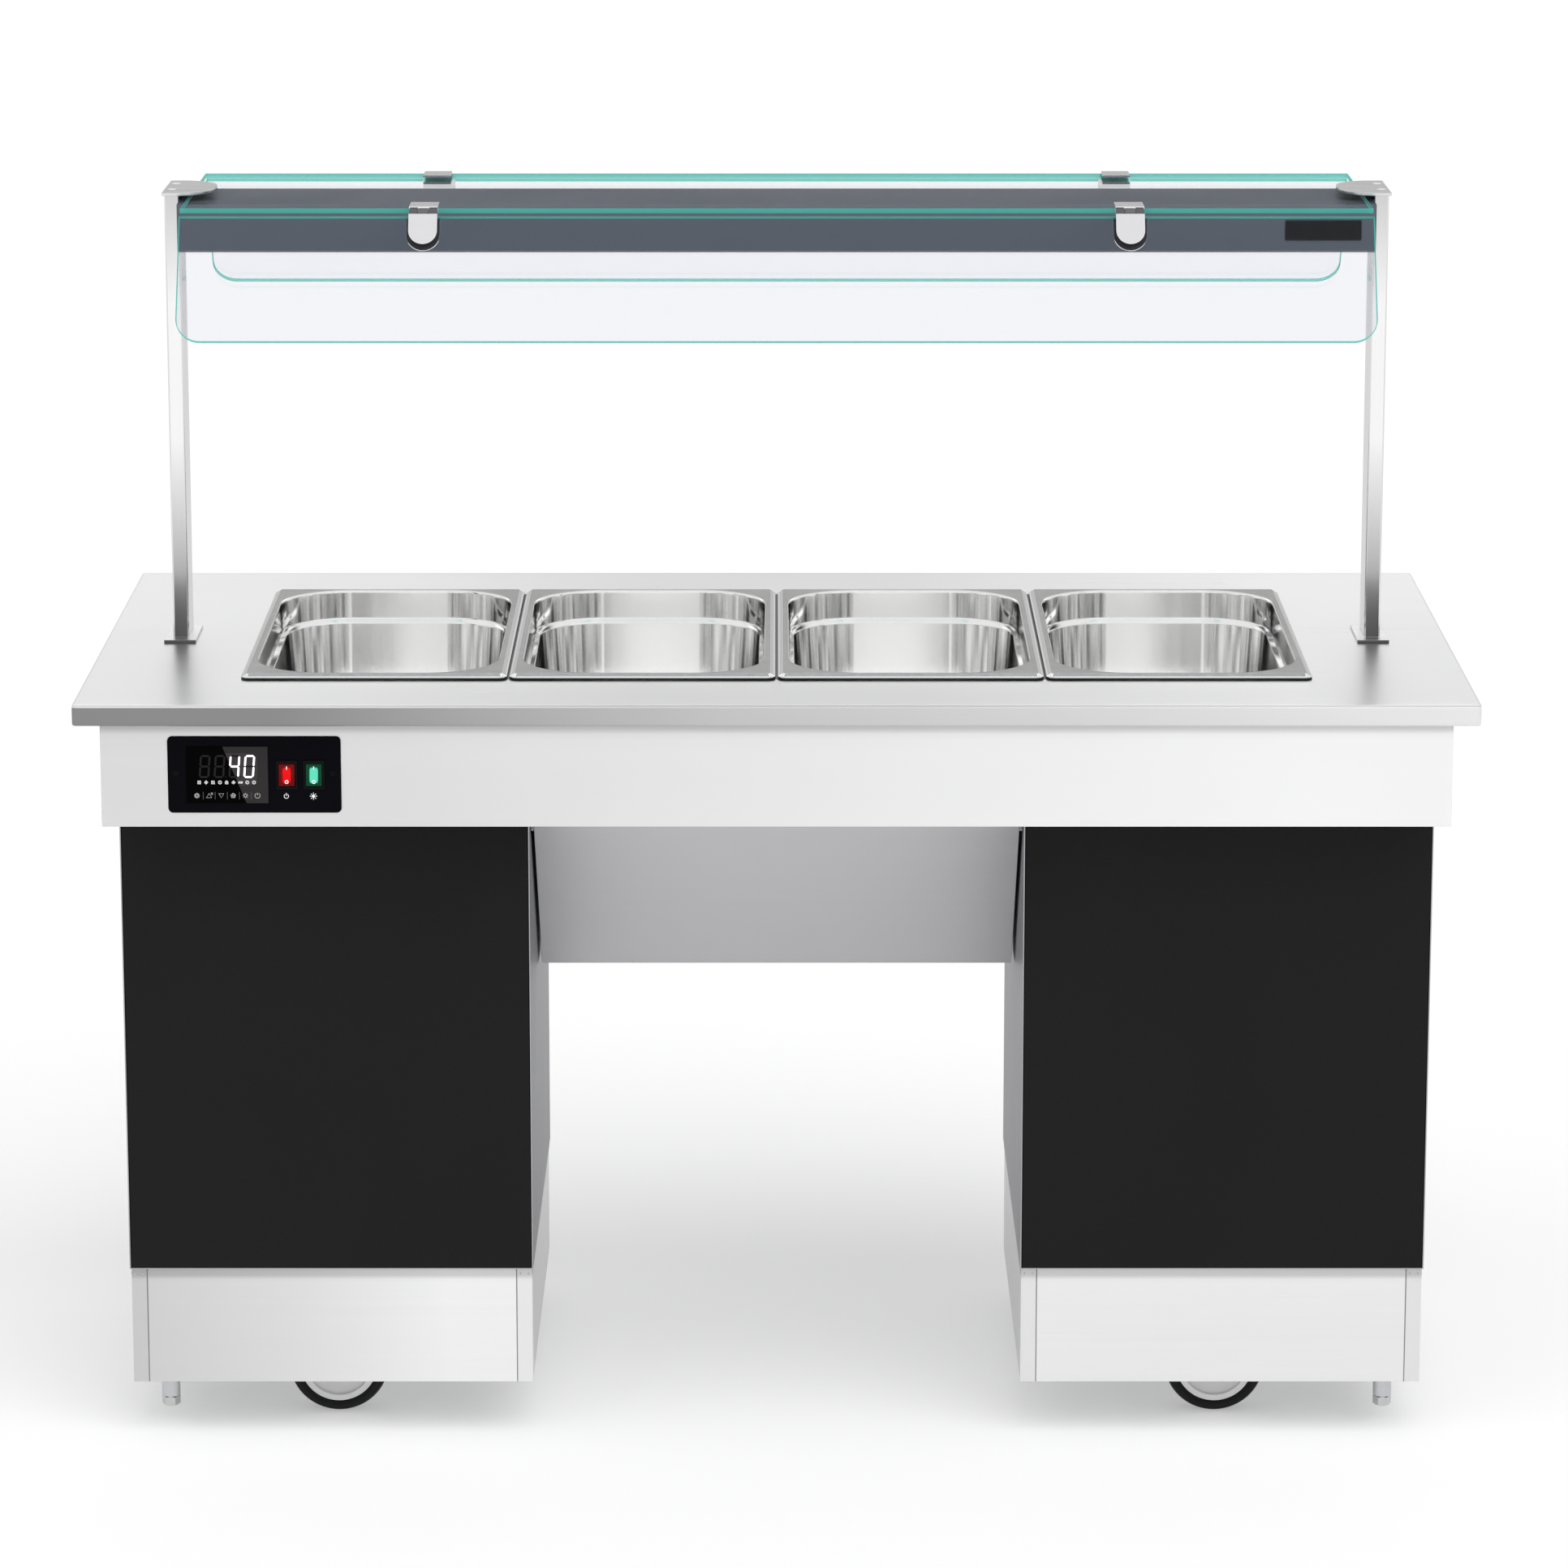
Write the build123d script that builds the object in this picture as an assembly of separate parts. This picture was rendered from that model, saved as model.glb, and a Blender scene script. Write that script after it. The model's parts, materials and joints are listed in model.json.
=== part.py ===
from build123d import *
import math
import os

# Hot buffet counter: a heated well with four food pans in a steel worktop, a lit glass guard above
# it and two pedestals on casters below it.
# Sizes are in millimetres. Seen from the control side, X runs to the right and Y runs away.
# The origin is on the floor below the middle of the worktop.

# Food pans
PAN_WIDTH = 325
PAN_LENGTH = 530
PAN_DEPTH = 150
PAN_COUNT = 4
PAN_GAP = 3
PAN_WALL = 1.2
PAN_FLANGE = 14
PAN_RIM_HEIGHT = 7
PAN_RIM_CORNER = 10
PAN_RIM_STEPS = 3
PAN_CORNER = 88
PAN_CORNER_STEPS = 5
PAN_SHOULDER_DROP = 37
PAN_SHOULDER_HEIGHT = 5
PAN_SHOULDER_STEP = 6
PAN_DRAFT = 7
PAN_FOOT_BEVEL = 13

# Worktop and its opening
TOP_HEIGHT = 965
END_MARGIN = 190.5
FRONT_MARGIN = 140
TOP_SHEET = 2
TOP_LIP = 26
TOP_RETURN = 16
TOP_CORNER = 5
SHEET = 1.5

# Heated well
WELL_PLAY = 4
WELL_LEDGE = 5
WELL_FLANGE = 8
WELL_ROOM = 27
BAR_WIDTH = 22
BAR_WEB = 14
BAR_PLAY = 0.4
MAT_THICKNESS = 3
MAT_MARGIN = 18
TRAY_HEIGHT = 30
TRAY_INSET = 42
TRAY_END_INSET = 7
BOARD_HEIGHT = 20
BOARD_PLAY = 1
PROBE_LENGTH = 40
PROBE_WIDTH = 20
PROBE_THICKNESS = 8
PROBE_EDGE = 3
FIT = 0.05

# Frame and apron under the worktop
APRON_INSET = 30
APRON_DROP = 157
APRON_RETURN = 14
FRAME_ANGLE = 30
FRAME_THICKNESS = 3
BEARER_WALL = 2
BEARER_GAP = 1
STRUT_WIDTH = 30

# Pedestals
KNEE_WIDTH = 606
PEDESTAL_END_INSET = 40
PEDESTAL_AHEAD = 22.3
PANEL_THICKNESS = 18
PANEL_PLAY = 0.5
PANEL_EDGE = 1
NOTCH_PLAY = 1
COVER_SLIT = 4
COVER_FLANGE = 22
COVER_DROP = 249
COVER_FLAT = 60

# Plinths and base frames
PLINTH_BOTTOM = 69
PLINTH_HEIGHT = 149
PLINTH_INSET = 6
PLINTH_HEM = 5
CORNER_LEG = 19
CORNER_SEAM = 0.8
BASE_WALL = 3
BASE_WINDOW = 150

# Levelling feet
FOOT_END_INSET = 43
FOOT_FACE_INSET = 50
FOOT_SLEEVE = 23
FOOT_STUD = 12
FOOT_STUD_LENGTH = 110
FOOT_HEX = 20
FOOT_HEX_HEIGHT = 12
FOOT_GROUND = 25
RUNNING_GAP = 0.3

# Casters
WHEEL_DIAMETER = 125
WHEEL_WIDTH = 30
AXLE_DIAMETER = 8
AXLE_HEAD = 14
AXLE_HEAD_HEIGHT = 4
CASTER_TRAIL = 25
CASTER_ROOM = 4
CASTER_PLATE_LENGTH = 105
CASTER_PLATE_WIDTH = 85
CASTER_PLATE_THICKNESS = 5
CASTER_RACE = 56
CASTER_RACE_HEIGHT = 21.7
KINGPIN_DIAMETER = 12
KINGPIN_NUT = 18
KINGPIN_NUT_HEIGHT = 3
FORK_THICKNESS = 3
FORK_CROWN = 4
FORK_CROWN_LENGTH = 52
FORK_HEADROOM = 4
FORK_SIDE_GAP = 0.5
FORK_EYE = 28

# Guard posts
POST_FROM_END = 95
POST_WIDTH = 20
POST_DEPTH = 60
POST_WALL = 2
POST_EDGE = 3
POST_PLUG = 8
FOOT_PLATE_LENGTH = 95
FOOT_PLATE_WIDTH = 40
FOOT_PLATE_THICKNESS = 4
TOP_PLATE_LENGTH = 118
TOP_PLATE_REACH = 62
TOP_PLATE_THICKNESS = 4
TOP_PLATE_CORNER = 45

# Glass guard and lamp
GUARD_HEIGHT = 566
GLASS = 6
GLASS_PAD = 1
GLASS_PAD_SIZE = 24
GLASS_END_GAP = 13
TOP_GLASS_DEPTH = 330
FLAP_LENGTH = 162
FLAP_CORNER = 30
FLAP_ANGLE = 29
LAMP_HEIGHT = 60
LAMP_DEPTH = 150
LAMP_WALL = 2
LAMP_LIP = 12
LAMP_EDGE = 3
DIFFUSER = 3
DIFFUSER_PLAY = 1
LED_WIDTH = 24
LED_THICKNESS = 2
LED_SPACING = 60
LED_END_GAP = 40

# Glass hinges
HINGE_SPACING = 860
HINGE_WIDTH = 35
HINGE_INNER_WIDTH = 41
HINGE_FIXED_REACH = 47
HINGE_FLAP_REACH = 44
HINGE_INNER_REACH = 49
HINGE_JAW = 2.5
HINGE_GRIP = 0.2
HINGE_WEB_START = 4.8
HINGE_WEB = 2
HINGE_KNUCKLE = 6
HINGE_MIDDLE = 13
HINGE_PIN = 3

# Controls on the apron
FASCIA_LENGTH = 209
FASCIA_HEIGHT = 94.5
FASCIA_THICKNESS = 2
FASCIA_CORNER = 6
FASCIA_FROM_END = 111
FASCIA_BELOW_TOP = 92
DISPLAY_LENGTH = 98.6
DISPLAY_HEIGHT = 70
DISPLAY_PROUD = 1.5
DISPLAY_DEPTH = 45
DISPLAY_BODY_INSET = 4
DISPLAY_SHIFT = -32.7
SWITCH_SHIFTS = (39.1, 71.8)
SWITCH_LENGTH = 25.6
SWITCH_HEIGHT = 35.5
SWITCH_PROUD = 2
SWITCH_BODY_LENGTH = 23
SWITCH_BODY_HEIGHT = 31
SWITCH_DEPTH = 24
SWITCH_POCKET = 12
CUT_PLAY = 0.3
ROCKER_WIDTH = 19.2
ROCKER_LENGTH = 27
ROCKER_THICKNESS = 6.5
ROCKER_VALLEY = 1.6
ROCKER_PLAY = 0.5
ROCKER_TILT = 8
GLAND_FROM_END = 250
GLAND_BELOW_TOP = 110
GLAND_THREAD = 25
GLAND_NUT = 33
GLAND_NUT_LENGTH = 12
GLAND_THREAD_LENGTH = 10
GLAND_BORE = 12

# Places worked out from those sizes
pan_pitch = PAN_WIDTH + PAN_GAP
pan_places = [(i - (PAN_COUNT - 1) / 2) * pan_pitch for i in range(PAN_COUNT)]
top_length = pan_pitch * (PAN_COUNT - 1) + PAN_WIDTH + 2 * END_MARGIN
top_depth = PAN_LENGTH + 2 * FRONT_MARGIN
top_under = TOP_HEIGHT - TOP_SHEET

pan_body_width = PAN_WIDTH - 2 * PAN_FLANGE + 2 * PAN_WALL
pan_body_length = PAN_LENGTH - 2 * PAN_FLANGE + 2 * PAN_WALL
well_length = pan_pitch * (PAN_COUNT - 1) + pan_body_width + 2 * WELL_PLAY
well_width = pan_body_length + 2 * WELL_PLAY
opening_length = well_length + 2 * WELL_LEDGE
opening_width = well_width + 2 * WELL_LEDGE
well_floor = TOP_HEIGHT + PAN_RIM_HEIGHT - PAN_DEPTH - WELL_ROOM
well_bottom = well_floor - SHEET
well_face = well_width / 2 + SHEET
tray_half_width = well_face - TRAY_INSET
tray_bottom = well_bottom - TRAY_HEIGHT

apron_length = top_length - 2 * APRON_INSET
apron_depth = top_depth - 2 * APRON_INSET
apron_bottom = TOP_HEIGHT - APRON_DROP
apron_face = apron_depth / 2
frame_bottom = top_under - FRAME_ANGLE

pedestal_inner = KNEE_WIDTH / 2
pedestal_outer = top_length / 2 - PEDESTAL_END_INSET
pedestal_face = well_face + PEDESTAL_AHEAD
pedestal_middle = (pedestal_inner + pedestal_outer) / 2
plinth_top = PLINTH_BOTTOM + PLINTH_HEIGHT
plinth_inner = pedestal_inner + SHEET
plinth_outer = pedestal_outer - SHEET
plinth_face = pedestal_face - PLINTH_INSET

wheel_radius = WHEEL_DIAMETER / 2
crown_low = WHEEL_DIAMETER + FORK_HEADROOM
race_low = crown_low + FORK_CROWN + RUNNING_GAP
caster_plate_low = race_low + CASTER_RACE_HEIGHT
base_low = caster_plate_low + CASTER_PLATE_THICKNESS
caster_swing = math.hypot(wheel_radius + CASTER_TRAIL, WHEEL_WIDTH / 2)
caster_x = pedestal_middle + CASTER_TRAIL
caster_y = plinth_face - SHEET - PLINTH_HEM - CASTER_ROOM - caster_swing
foot_x = pedestal_outer - FOOT_END_INSET
foot_y = pedestal_face - FOOT_FACE_INSET

post_x = top_length / 2 - POST_FROM_END
post_inner = post_x - POST_WIDTH / 2
glass_top = TOP_HEIGHT + GUARD_HEIGHT
glass_low = glass_top - GLASS
glass_length = 2 * (post_inner - GLASS_END_GAP)
lamp_top = glass_low - GLASS_PAD
lamp_low = lamp_top - LAMP_HEIGHT
post_top = glass_top + GLASS_PAD
glass_start = HINGE_WEB_START + HINGE_WEB + HINGE_GRIP
pivot_y = TOP_GLASS_DEPTH / 2 + glass_start
pivot_z = glass_top - GLASS / 2

fascia_x = FASCIA_FROM_END + FASCIA_LENGTH / 2 - top_length / 2
fascia_z = TOP_HEIGHT - FASCIA_BELOW_TOP
fascia_y = -apron_face - FASCIA_THICKNESS


def slab(x_span, y_span, z_span):
    """Plain bar or plate between three pairs of limits."""
    middle = [(low + high) / 2 for low, high in (x_span, y_span, z_span)]
    size = [high - low for low, high in (x_span, y_span, z_span)]
    return Pos(*middle) * Box(*size)


def rounded_plate(length, depth, corner, z_low, z_high):
    """Level plate about the middle, with round or square upright corners."""
    outline = RectangleRounded(length, depth, corner) if corner else Rectangle(length, depth)
    return Pos(0, 0, z_low) * extrude(outline, z_high - z_low)


def corner_points(width, length, corner, steps, height):
    """Points of a level rectangle whose corners follow an arc in straight steps that touch it."""
    reach = Vector(corner / math.cos(math.radians(45 / steps)), 0)
    points = []
    for quarter, (to_x, to_y) in enumerate(((1, 1), (-1, 1), (-1, -1), (1, -1))):
        centre = Vector(to_x * (width / 2 - corner), to_y * (length / 2 - corner), height)
        for step in range(steps):
            points.append(centre + reach.rotate(Axis.Z, 90 * (quarter + (step + 0.5) / steps)))
    return points


def flat_sided(outlines):
    """Solid with flat sides between level outlines that have the same number of points."""
    walls = [Face(Wire.make_polygon(outline)) for outline in (outlines[0], outlines[-1])]
    for upper, lower in zip(outlines, outlines[1:]):
        for i in range(len(upper)):
            walls.append(Face(Wire.make_polygon([upper[i - 1], upper[i], lower[i], lower[i - 1]])))
    return Solid(Shell(walls))


def folded(points, thickness):
    """Face of a bent sheet along the points, with its thickness to the left of their line."""
    path = [Vector(*point) for point in points]
    sides = [(b - a).normalized().rotate(Axis.Z, 90) for a, b in zip(path, path[1:])]
    inner = []
    for point, before, after in zip(path, sides[:1] + sides, sides + sides[-1:]):
        turn = before + after
        inner.append(point + turn * (2 * thickness / turn.length**2))
    return make_face(Polyline(*path, *reversed(inner), close=True))


def along_x(profile, x_low, x_high):
    """Bar whose section is drawn with Y to the right and Z up."""
    return Pos(x_low, 0, 0) * extrude(Plane.YZ * profile, x_high - x_low)


def along_y(profile, y_low, y_high):
    """Bar whose section is drawn with X to the right and Z up."""
    return Pos(0, y_high, 0) * extrude(Plane.XZ * profile, y_high - y_low)


def flip_x(shape):
    """The same shape at the other end of the counter."""
    return mirror(shape, about=Plane.YZ)


def flip_y(shape):
    """The same shape on the other long side of the counter."""
    return mirror(shape, about=Plane.XZ)


def group(shapes):
    """Separate solids that belong to one node."""
    return Compound(children=[solid for shape in shapes for solid in shape.solids()])


def worktop():
    """Folded steel top with a lip all round and the opening for the well."""
    lip_low = TOP_HEIGHT - TOP_LIP
    skin = rounded_plate(top_length, top_depth, TOP_CORNER, lip_low, TOP_HEIGHT)
    inside_length = top_length - 2 * TOP_SHEET
    inside_depth = top_depth - 2 * TOP_SHEET
    inside = rounded_plate(inside_length, inside_depth, 0, lip_low + TOP_SHEET, top_under)
    mouth_length = top_length - 2 * TOP_RETURN
    mouth = rounded_plate(mouth_length, top_depth - 2 * TOP_RETURN, 0, lip_low, lip_low + TOP_SHEET)
    opening = rounded_plate(opening_length, opening_width, 0, top_under, TOP_HEIGHT)
    return skin - inside - mouth - opening


def well_tub():
    """Welded tub whose flange makes a ledge inside the worktop's opening."""
    walls = rounded_plate(well_length + 2 * SHEET, 2 * well_face, 0, well_bottom, top_under)
    flange_length = opening_length + 2 * WELL_FLANGE
    flange_width = opening_width + 2 * WELL_FLANGE
    flange = rounded_plate(flange_length, flange_width, 0, top_under - SHEET, top_under)
    inside = rounded_plate(well_length, well_width, 0, well_floor, top_under)
    return walls + flange - inside


def temperature_probe():
    """Sensor block against the underside of the tub, between the two middle heating mats."""
    block = slab(
        (-PROBE_WIDTH / 2, PROBE_WIDTH / 2),
        (-PROBE_LENGTH / 2, PROBE_LENGTH / 2),
        (well_bottom - PROBE_THICKNESS, well_bottom),
    )
    return chamfer(block.faces().sort_by(Axis.Z)[0].edges(), PROBE_EDGE)


def pan_bars():
    """T-bars on the ledge, one under each joint between two pans."""
    bars = []
    for left, right in zip(pan_places, pan_places[1:]):
        x = (left + right) / 2
        top_half = opening_width / 2 - BAR_PLAY
        web_half = well_width / 2 - BAR_PLAY
        top = slab((x - BAR_WIDTH / 2, x + BAR_WIDTH / 2), (-top_half, top_half), (top_under, TOP_HEIGHT))
        web = slab((x - SHEET / 2, x + SHEET / 2), (-web_half, web_half), (top_under - BAR_WEB, top_under))
        bars.append(top + web)
    return bars


def pan_cone(levels, grow):
    """Tapering body with large corners, from the heights and insets of its wall."""
    outlines = []
    for level, inset in levels:
        shrink = 2 * (PAN_FLANGE + inset - grow)
        corner = PAN_CORNER - inset + grow
        width = PAN_WIDTH - shrink
        length = PAN_LENGTH - shrink
        outlines.append(corner_points(width, length, corner, PAN_CORNER_STEPS, level))
    return flat_sided(outlines)


def pan_levels(floor):
    """Heights and insets of the pan's wall from the rim to a floor level."""
    shoulder_low = -PAN_SHOULDER_DROP - PAN_SHOULDER_HEIGHT
    return [
        (0, 0),
        (-PAN_SHOULDER_DROP, 1),
        (shoulder_low, 1 + PAN_SHOULDER_STEP),
        (floor + PAN_FOOT_BEVEL, 1 + PAN_SHOULDER_STEP + PAN_DRAFT),
        (floor, 1 + PAN_SHOULDER_STEP + PAN_DRAFT + PAN_FOOT_BEVEL),
    ]


def food_pan(x):
    """Pressed pan with a turned-down rim, a stacking shoulder and bevelled foot."""
    flange = flat_sided([rim_points(0, level) for level in (0, -PAN_RIM_HEIGHT)])
    flange -= flat_sided([rim_points(PAN_WALL, level) for level in (-PAN_WALL, -PAN_RIM_HEIGHT)])
    outside = pan_cone(pan_levels(-PAN_DEPTH), PAN_WALL)
    inside = pan_cone(pan_levels(PAN_WALL - PAN_DEPTH), 0)
    return Pos(x, 0, TOP_HEIGHT + PAN_RIM_HEIGHT) * (flange + outside - inside)


def rim_points(inset, level):
    """Outline of the pan's rim, drawn in by an inset."""
    corner = PAN_RIM_CORNER - inset
    return corner_points(PAN_WIDTH - 2 * inset, PAN_LENGTH - 2 * inset, corner, PAN_RIM_STEPS, level)


def heater_mats():
    """Flat heating mats on the underside of the tub, one below each pan."""
    width = PAN_WIDTH - 2 * MAT_MARGIN
    length = 2 * (tray_half_width - MAT_MARGIN)
    low = well_bottom - MAT_THICKNESS
    return [Pos(x, 0, 0) * rounded_plate(width, length, 0, low, well_bottom) for x in pan_places]


def heater_tray():
    """Shallow tray that closes the heater space under the tub."""
    length = well_length + 2 * SHEET - 2 * TRAY_END_INSET
    tray = rounded_plate(length, 2 * tray_half_width, 0, tray_bottom, well_bottom)
    inside_width = 2 * (tray_half_width - SHEET)
    return tray - rounded_plate(length - 2 * SHEET, inside_width, 0, tray_bottom + SHEET, well_bottom)


def insulation_board():
    """Mineral wool board lying in the tray."""
    length = well_length - 2 * TRAY_END_INSET - 2 * BOARD_PLAY
    width = 2 * (tray_half_width - SHEET - BOARD_PLAY)
    low = tray_bottom + SHEET
    return rounded_plate(length, width, 0, low, low + BOARD_HEIGHT)


def upper_frame():
    """Angle frame inside the apron, with two channels that carry the well and lie on the pedestals."""
    length = apron_length - 2 * SHEET
    depth = apron_depth - 2 * SHEET
    leg = rounded_plate(length, depth, 0, frame_bottom, top_under)
    inner_length = length - 2 * FRAME_THICKNESS
    leg -= rounded_plate(inner_length, depth - 2 * FRAME_THICKNESS, 0, frame_bottom, top_under)
    shelf_low = top_under - FRAME_THICKNESS
    shelf = rounded_plate(length, depth, 0, shelf_low, top_under)
    shelf -= rounded_plate(length - 2 * FRAME_ANGLE, depth - 2 * FRAME_ANGLE, 0, shelf_low, top_under)
    frame = leg + shelf
    near = well_face + BEARER_GAP
    top = top_under - SHEET
    inner_top = top - BEARER_WALL
    section = Polyline(
        (near, frame_bottom),
        (near, top),
        (pedestal_face, top),
        (pedestal_face, frame_bottom),
        (pedestal_face - BEARER_WALL, frame_bottom),
        (pedestal_face - BEARER_WALL, inner_top),
        (near + BEARER_WALL, inner_top),
        (near + BEARER_WALL, frame_bottom),
        close=True,
    )
    half = inner_length / 2
    bearer = along_x(make_face(section), -half, half)
    strut_y = (pedestal_face, depth / 2)
    strut_z = (top - FRAME_THICKNESS, top)
    strut = slab((pedestal_inner, pedestal_inner + STRUT_WIDTH), strut_y, strut_z)
    side = bearer + strut + flip_x(strut)
    return frame + side + flip_y(side)


def control_holes():
    """Openings through fascia and apron for the display and the two switches."""
    reach = (fascia_y - 1, -apron_face + SHEET + 1)
    display_x = fascia_x + DISPLAY_SHIFT
    half = DISPLAY_LENGTH / 2 - DISPLAY_BODY_INSET + CUT_PLAY
    rise = DISPLAY_HEIGHT / 2 - DISPLAY_BODY_INSET + CUT_PLAY
    holes = slab((display_x - half, display_x + half), reach, (fascia_z - rise, fascia_z + rise))
    half = SWITCH_BODY_LENGTH / 2 + CUT_PLAY
    rise = SWITCH_BODY_HEIGHT / 2 + CUT_PLAY
    for shift in SWITCH_SHIFTS:
        x = fascia_x + shift
        holes += slab((x - half, x + half), reach, (fascia_z - rise, fascia_z + rise))
    return holes


def long_apron():
    """Apron sheet of a long side, with its bottom edge turned in, on the control side."""
    sheet = slab(
        (-apron_length / 2, apron_length / 2),
        (-apron_face, -apron_face + SHEET),
        (apron_bottom, top_under),
    )
    half = apron_length / 2 - SHEET - PANEL_PLAY
    inner = -apron_face + SHEET
    return sheet + slab((-half, half), (inner, inner + APRON_RETURN), (apron_bottom, apron_bottom + SHEET))


def rear_apron():
    """Apron of the other long side, with the hole for the cable gland."""
    hole = Cylinder(GLAND_THREAD / 2 + FIT, 4 * SHEET)
    return flip_y(long_apron()) - gland_place() * hole


def end_apron():
    """Right-hand apron between the two long ones, turned in at the bottom up to the pedestal."""
    outer = apron_length / 2
    half = apron_face - SHEET
    sheet = slab((outer - SHEET, outer), (-half, half), (apron_bottom, top_under))
    half -= APRON_RETURN + PANEL_PLAY
    edge = pedestal_outer + PANEL_PLAY
    return sheet + slab((edge, outer - SHEET), (-half, half), (apron_bottom, apron_bottom + SHEET))


def gland_place():
    """Place of the cable gland, with its axis pointing out of the rear apron."""
    x = top_length / 2 - GLAND_FROM_END
    return Pos(x, apron_face, TOP_HEIGHT - GLAND_BELOW_TOP) * Rot(-90, 0, 0)


def cable_gland():
    """Gland with its nut against the rear apron and its bored thread through it."""
    nut = extrude(RegularPolygon(GLAND_NUT / 2, 6, major_radius=False), GLAND_NUT_LENGTH)
    thread = extrude(Circle(GLAND_THREAD / 2), -GLAND_THREAD_LENGTH)
    bore = extrude(Circle(GLAND_BORE / 2), GLAND_NUT_LENGTH + GLAND_THREAD_LENGTH)
    return gland_place() * (nut + thread - Pos(0, 0, -GLAND_THREAD_LENGTH) * bore)


def under_cover():
    """V-shaped sheet under the heated well, between the two pedestals."""
    half = pedestal_inner - COVER_SLIT
    top = well_bottom + COVER_FLANGE
    low = well_bottom - COVER_DROP
    outside = well_face + SHEET
    bend = well_bottom - SHEET
    points = [
        (-outside, top),
        (-outside, bend),
        (-COVER_FLAT / 2, low),
        (COVER_FLAT / 2, low),
        (outside, bend),
        (outside, top),
    ]
    return along_x(folded(points, SHEET), -half, half)


def carcass():
    """Right-hand pedestal's folded sides and floor, with a notch for the well in the inner side."""
    points = [
        (pedestal_inner, frame_bottom),
        (pedestal_inner, plinth_top),
        (pedestal_outer, plinth_top),
        (pedestal_outer, frame_bottom),
    ]
    shell = along_y(folded(points, SHEET), -pedestal_face, pedestal_face)
    wide = well_face + NOTCH_PLAY
    narrow = tray_half_width + NOTCH_PLAY
    low = tray_bottom - NOTCH_PLAY
    notch = Polyline(
        (-wide, frame_bottom),
        (-wide, well_bottom - NOTCH_PLAY),
        (-narrow, low),
        (narrow, low),
        (wide, well_bottom - NOTCH_PLAY),
        (wide, frame_bottom),
        close=True,
    )
    return shell - along_x(make_face(notch), pedestal_inner, pedestal_inner + SHEET)


def pedestal_panel():
    """Board that closes the right-hand pedestal on the control side."""
    inner = pedestal_inner + SHEET + PANEL_PLAY
    outer = pedestal_outer - SHEET - PANEL_PLAY
    board = slab(
        (inner, outer),
        (-pedestal_face, -pedestal_face + PANEL_THICKNESS),
        (plinth_top + SHEET, frame_bottom),
    )
    return chamfer(board.faces().sort_by(Axis.Y)[0].edges(), PANEL_EDGE)


def plinth_corners():
    """Four corner angles of the right-hand plinth."""
    corners = []
    for x, to_x in ((plinth_inner, 1), (plinth_outer, -1)):
        for y, to_y in ((-plinth_face, 1), (plinth_face, -1)):
            leg = Rectangle(CORNER_LEG, CORNER_LEG) - Pos(SHEET, SHEET) * Rectangle(CORNER_LEG, CORNER_LEG)
            angle = Pos(CORNER_LEG / 2, CORNER_LEG / 2) * extrude(leg, PLINTH_HEIGHT)
            angle = angle if to_x > 0 else flip_x(angle)
            angle = angle if to_y > 0 else flip_y(angle)
            corners.append(Pos(x, y, PLINTH_BOTTOM) * angle)
    return corners


def plinth_panels():
    """Four plinth sheets of the right-hand pedestal, hemmed at the bottom, between the corners."""
    room = CORNER_LEG + CORNER_SEAM
    front = along_x(folded(hemmed_line(-plinth_face), SHEET), plinth_inner + room, plinth_outer - room)
    inner = along_y(folded(hemmed_line(plinth_inner), SHEET), room - plinth_face, plinth_face - room)
    outer = mirror(inner, about=Plane.YZ.offset(pedestal_middle))
    return [front, flip_y(front), inner, outer]


def hemmed_line(face):
    """Line down a plinth sheet and along its hem."""
    return [(face, plinth_top), (face, PLINTH_BOTTOM), (face + PLINTH_HEM, PLINTH_BOTTOM)]


def foot_places():
    """Places of the four levelling feet, by name."""
    return {
        "front_left": (-foot_x, -foot_y),
        "front_right": (foot_x, -foot_y),
        "rear_left": (-foot_x, foot_y),
        "rear_right": (foot_x, foot_y),
    }


def base_frame():
    """Right-hand base tray that carries the casters, with the two threaded foot sleeves welded on."""
    inner = plinth_inner + SHEET
    outer = plinth_outer - SHEET
    face = plinth_face - SHEET
    tray = slab((inner, outer), (-face, face), (base_low, plinth_top))
    tray -= slab(
        (inner + BASE_WALL, outer - BASE_WALL),
        (BASE_WALL - face, face - BASE_WALL),
        (base_low + BASE_WALL, plinth_top),
    )
    window = rounded_plate(outer - inner - 2 * BASE_WINDOW, BASE_WINDOW, 0, base_low, base_low + BASE_WALL)
    tray -= Pos(pedestal_middle, 0, 0) * window
    sleeve_low = FOOT_GROUND + FOOT_HEX_HEIGHT + RUNNING_GAP
    for y in (-foot_y, foot_y):
        place = Pos(foot_x, y, sleeve_low)
        tray += place * extrude(Circle(FOOT_SLEEVE / 2), base_low - sleeve_low)
        tray -= place * extrude(Circle(FOOT_STUD / 2 + FIT), base_low - sleeve_low)
    return tray


def levelling_foot(x, y):
    """Threaded stud with a hexagonal foot."""
    hexagon = extrude(RegularPolygon(FOOT_HEX / 2, 6, major_radius=False), FOOT_HEX_HEIGHT)
    stud = Pos(0, 0, FOOT_HEX_HEIGHT) * extrude(Circle(FOOT_STUD / 2), FOOT_STUD_LENGTH)
    return Pos(x, y, FOOT_GROUND) * (hexagon + stud)


def caster_places():
    """Swivel axis of each caster, by name, with the side on which its wheel trails."""
    return {
        "front_left": (-caster_x, -caster_y, 1),
        "front_right": (caster_x, -caster_y, -1),
        "rear_left": (-caster_x, caster_y, 1),
        "rear_right": (caster_x, caster_y, -1),
    }


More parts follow.
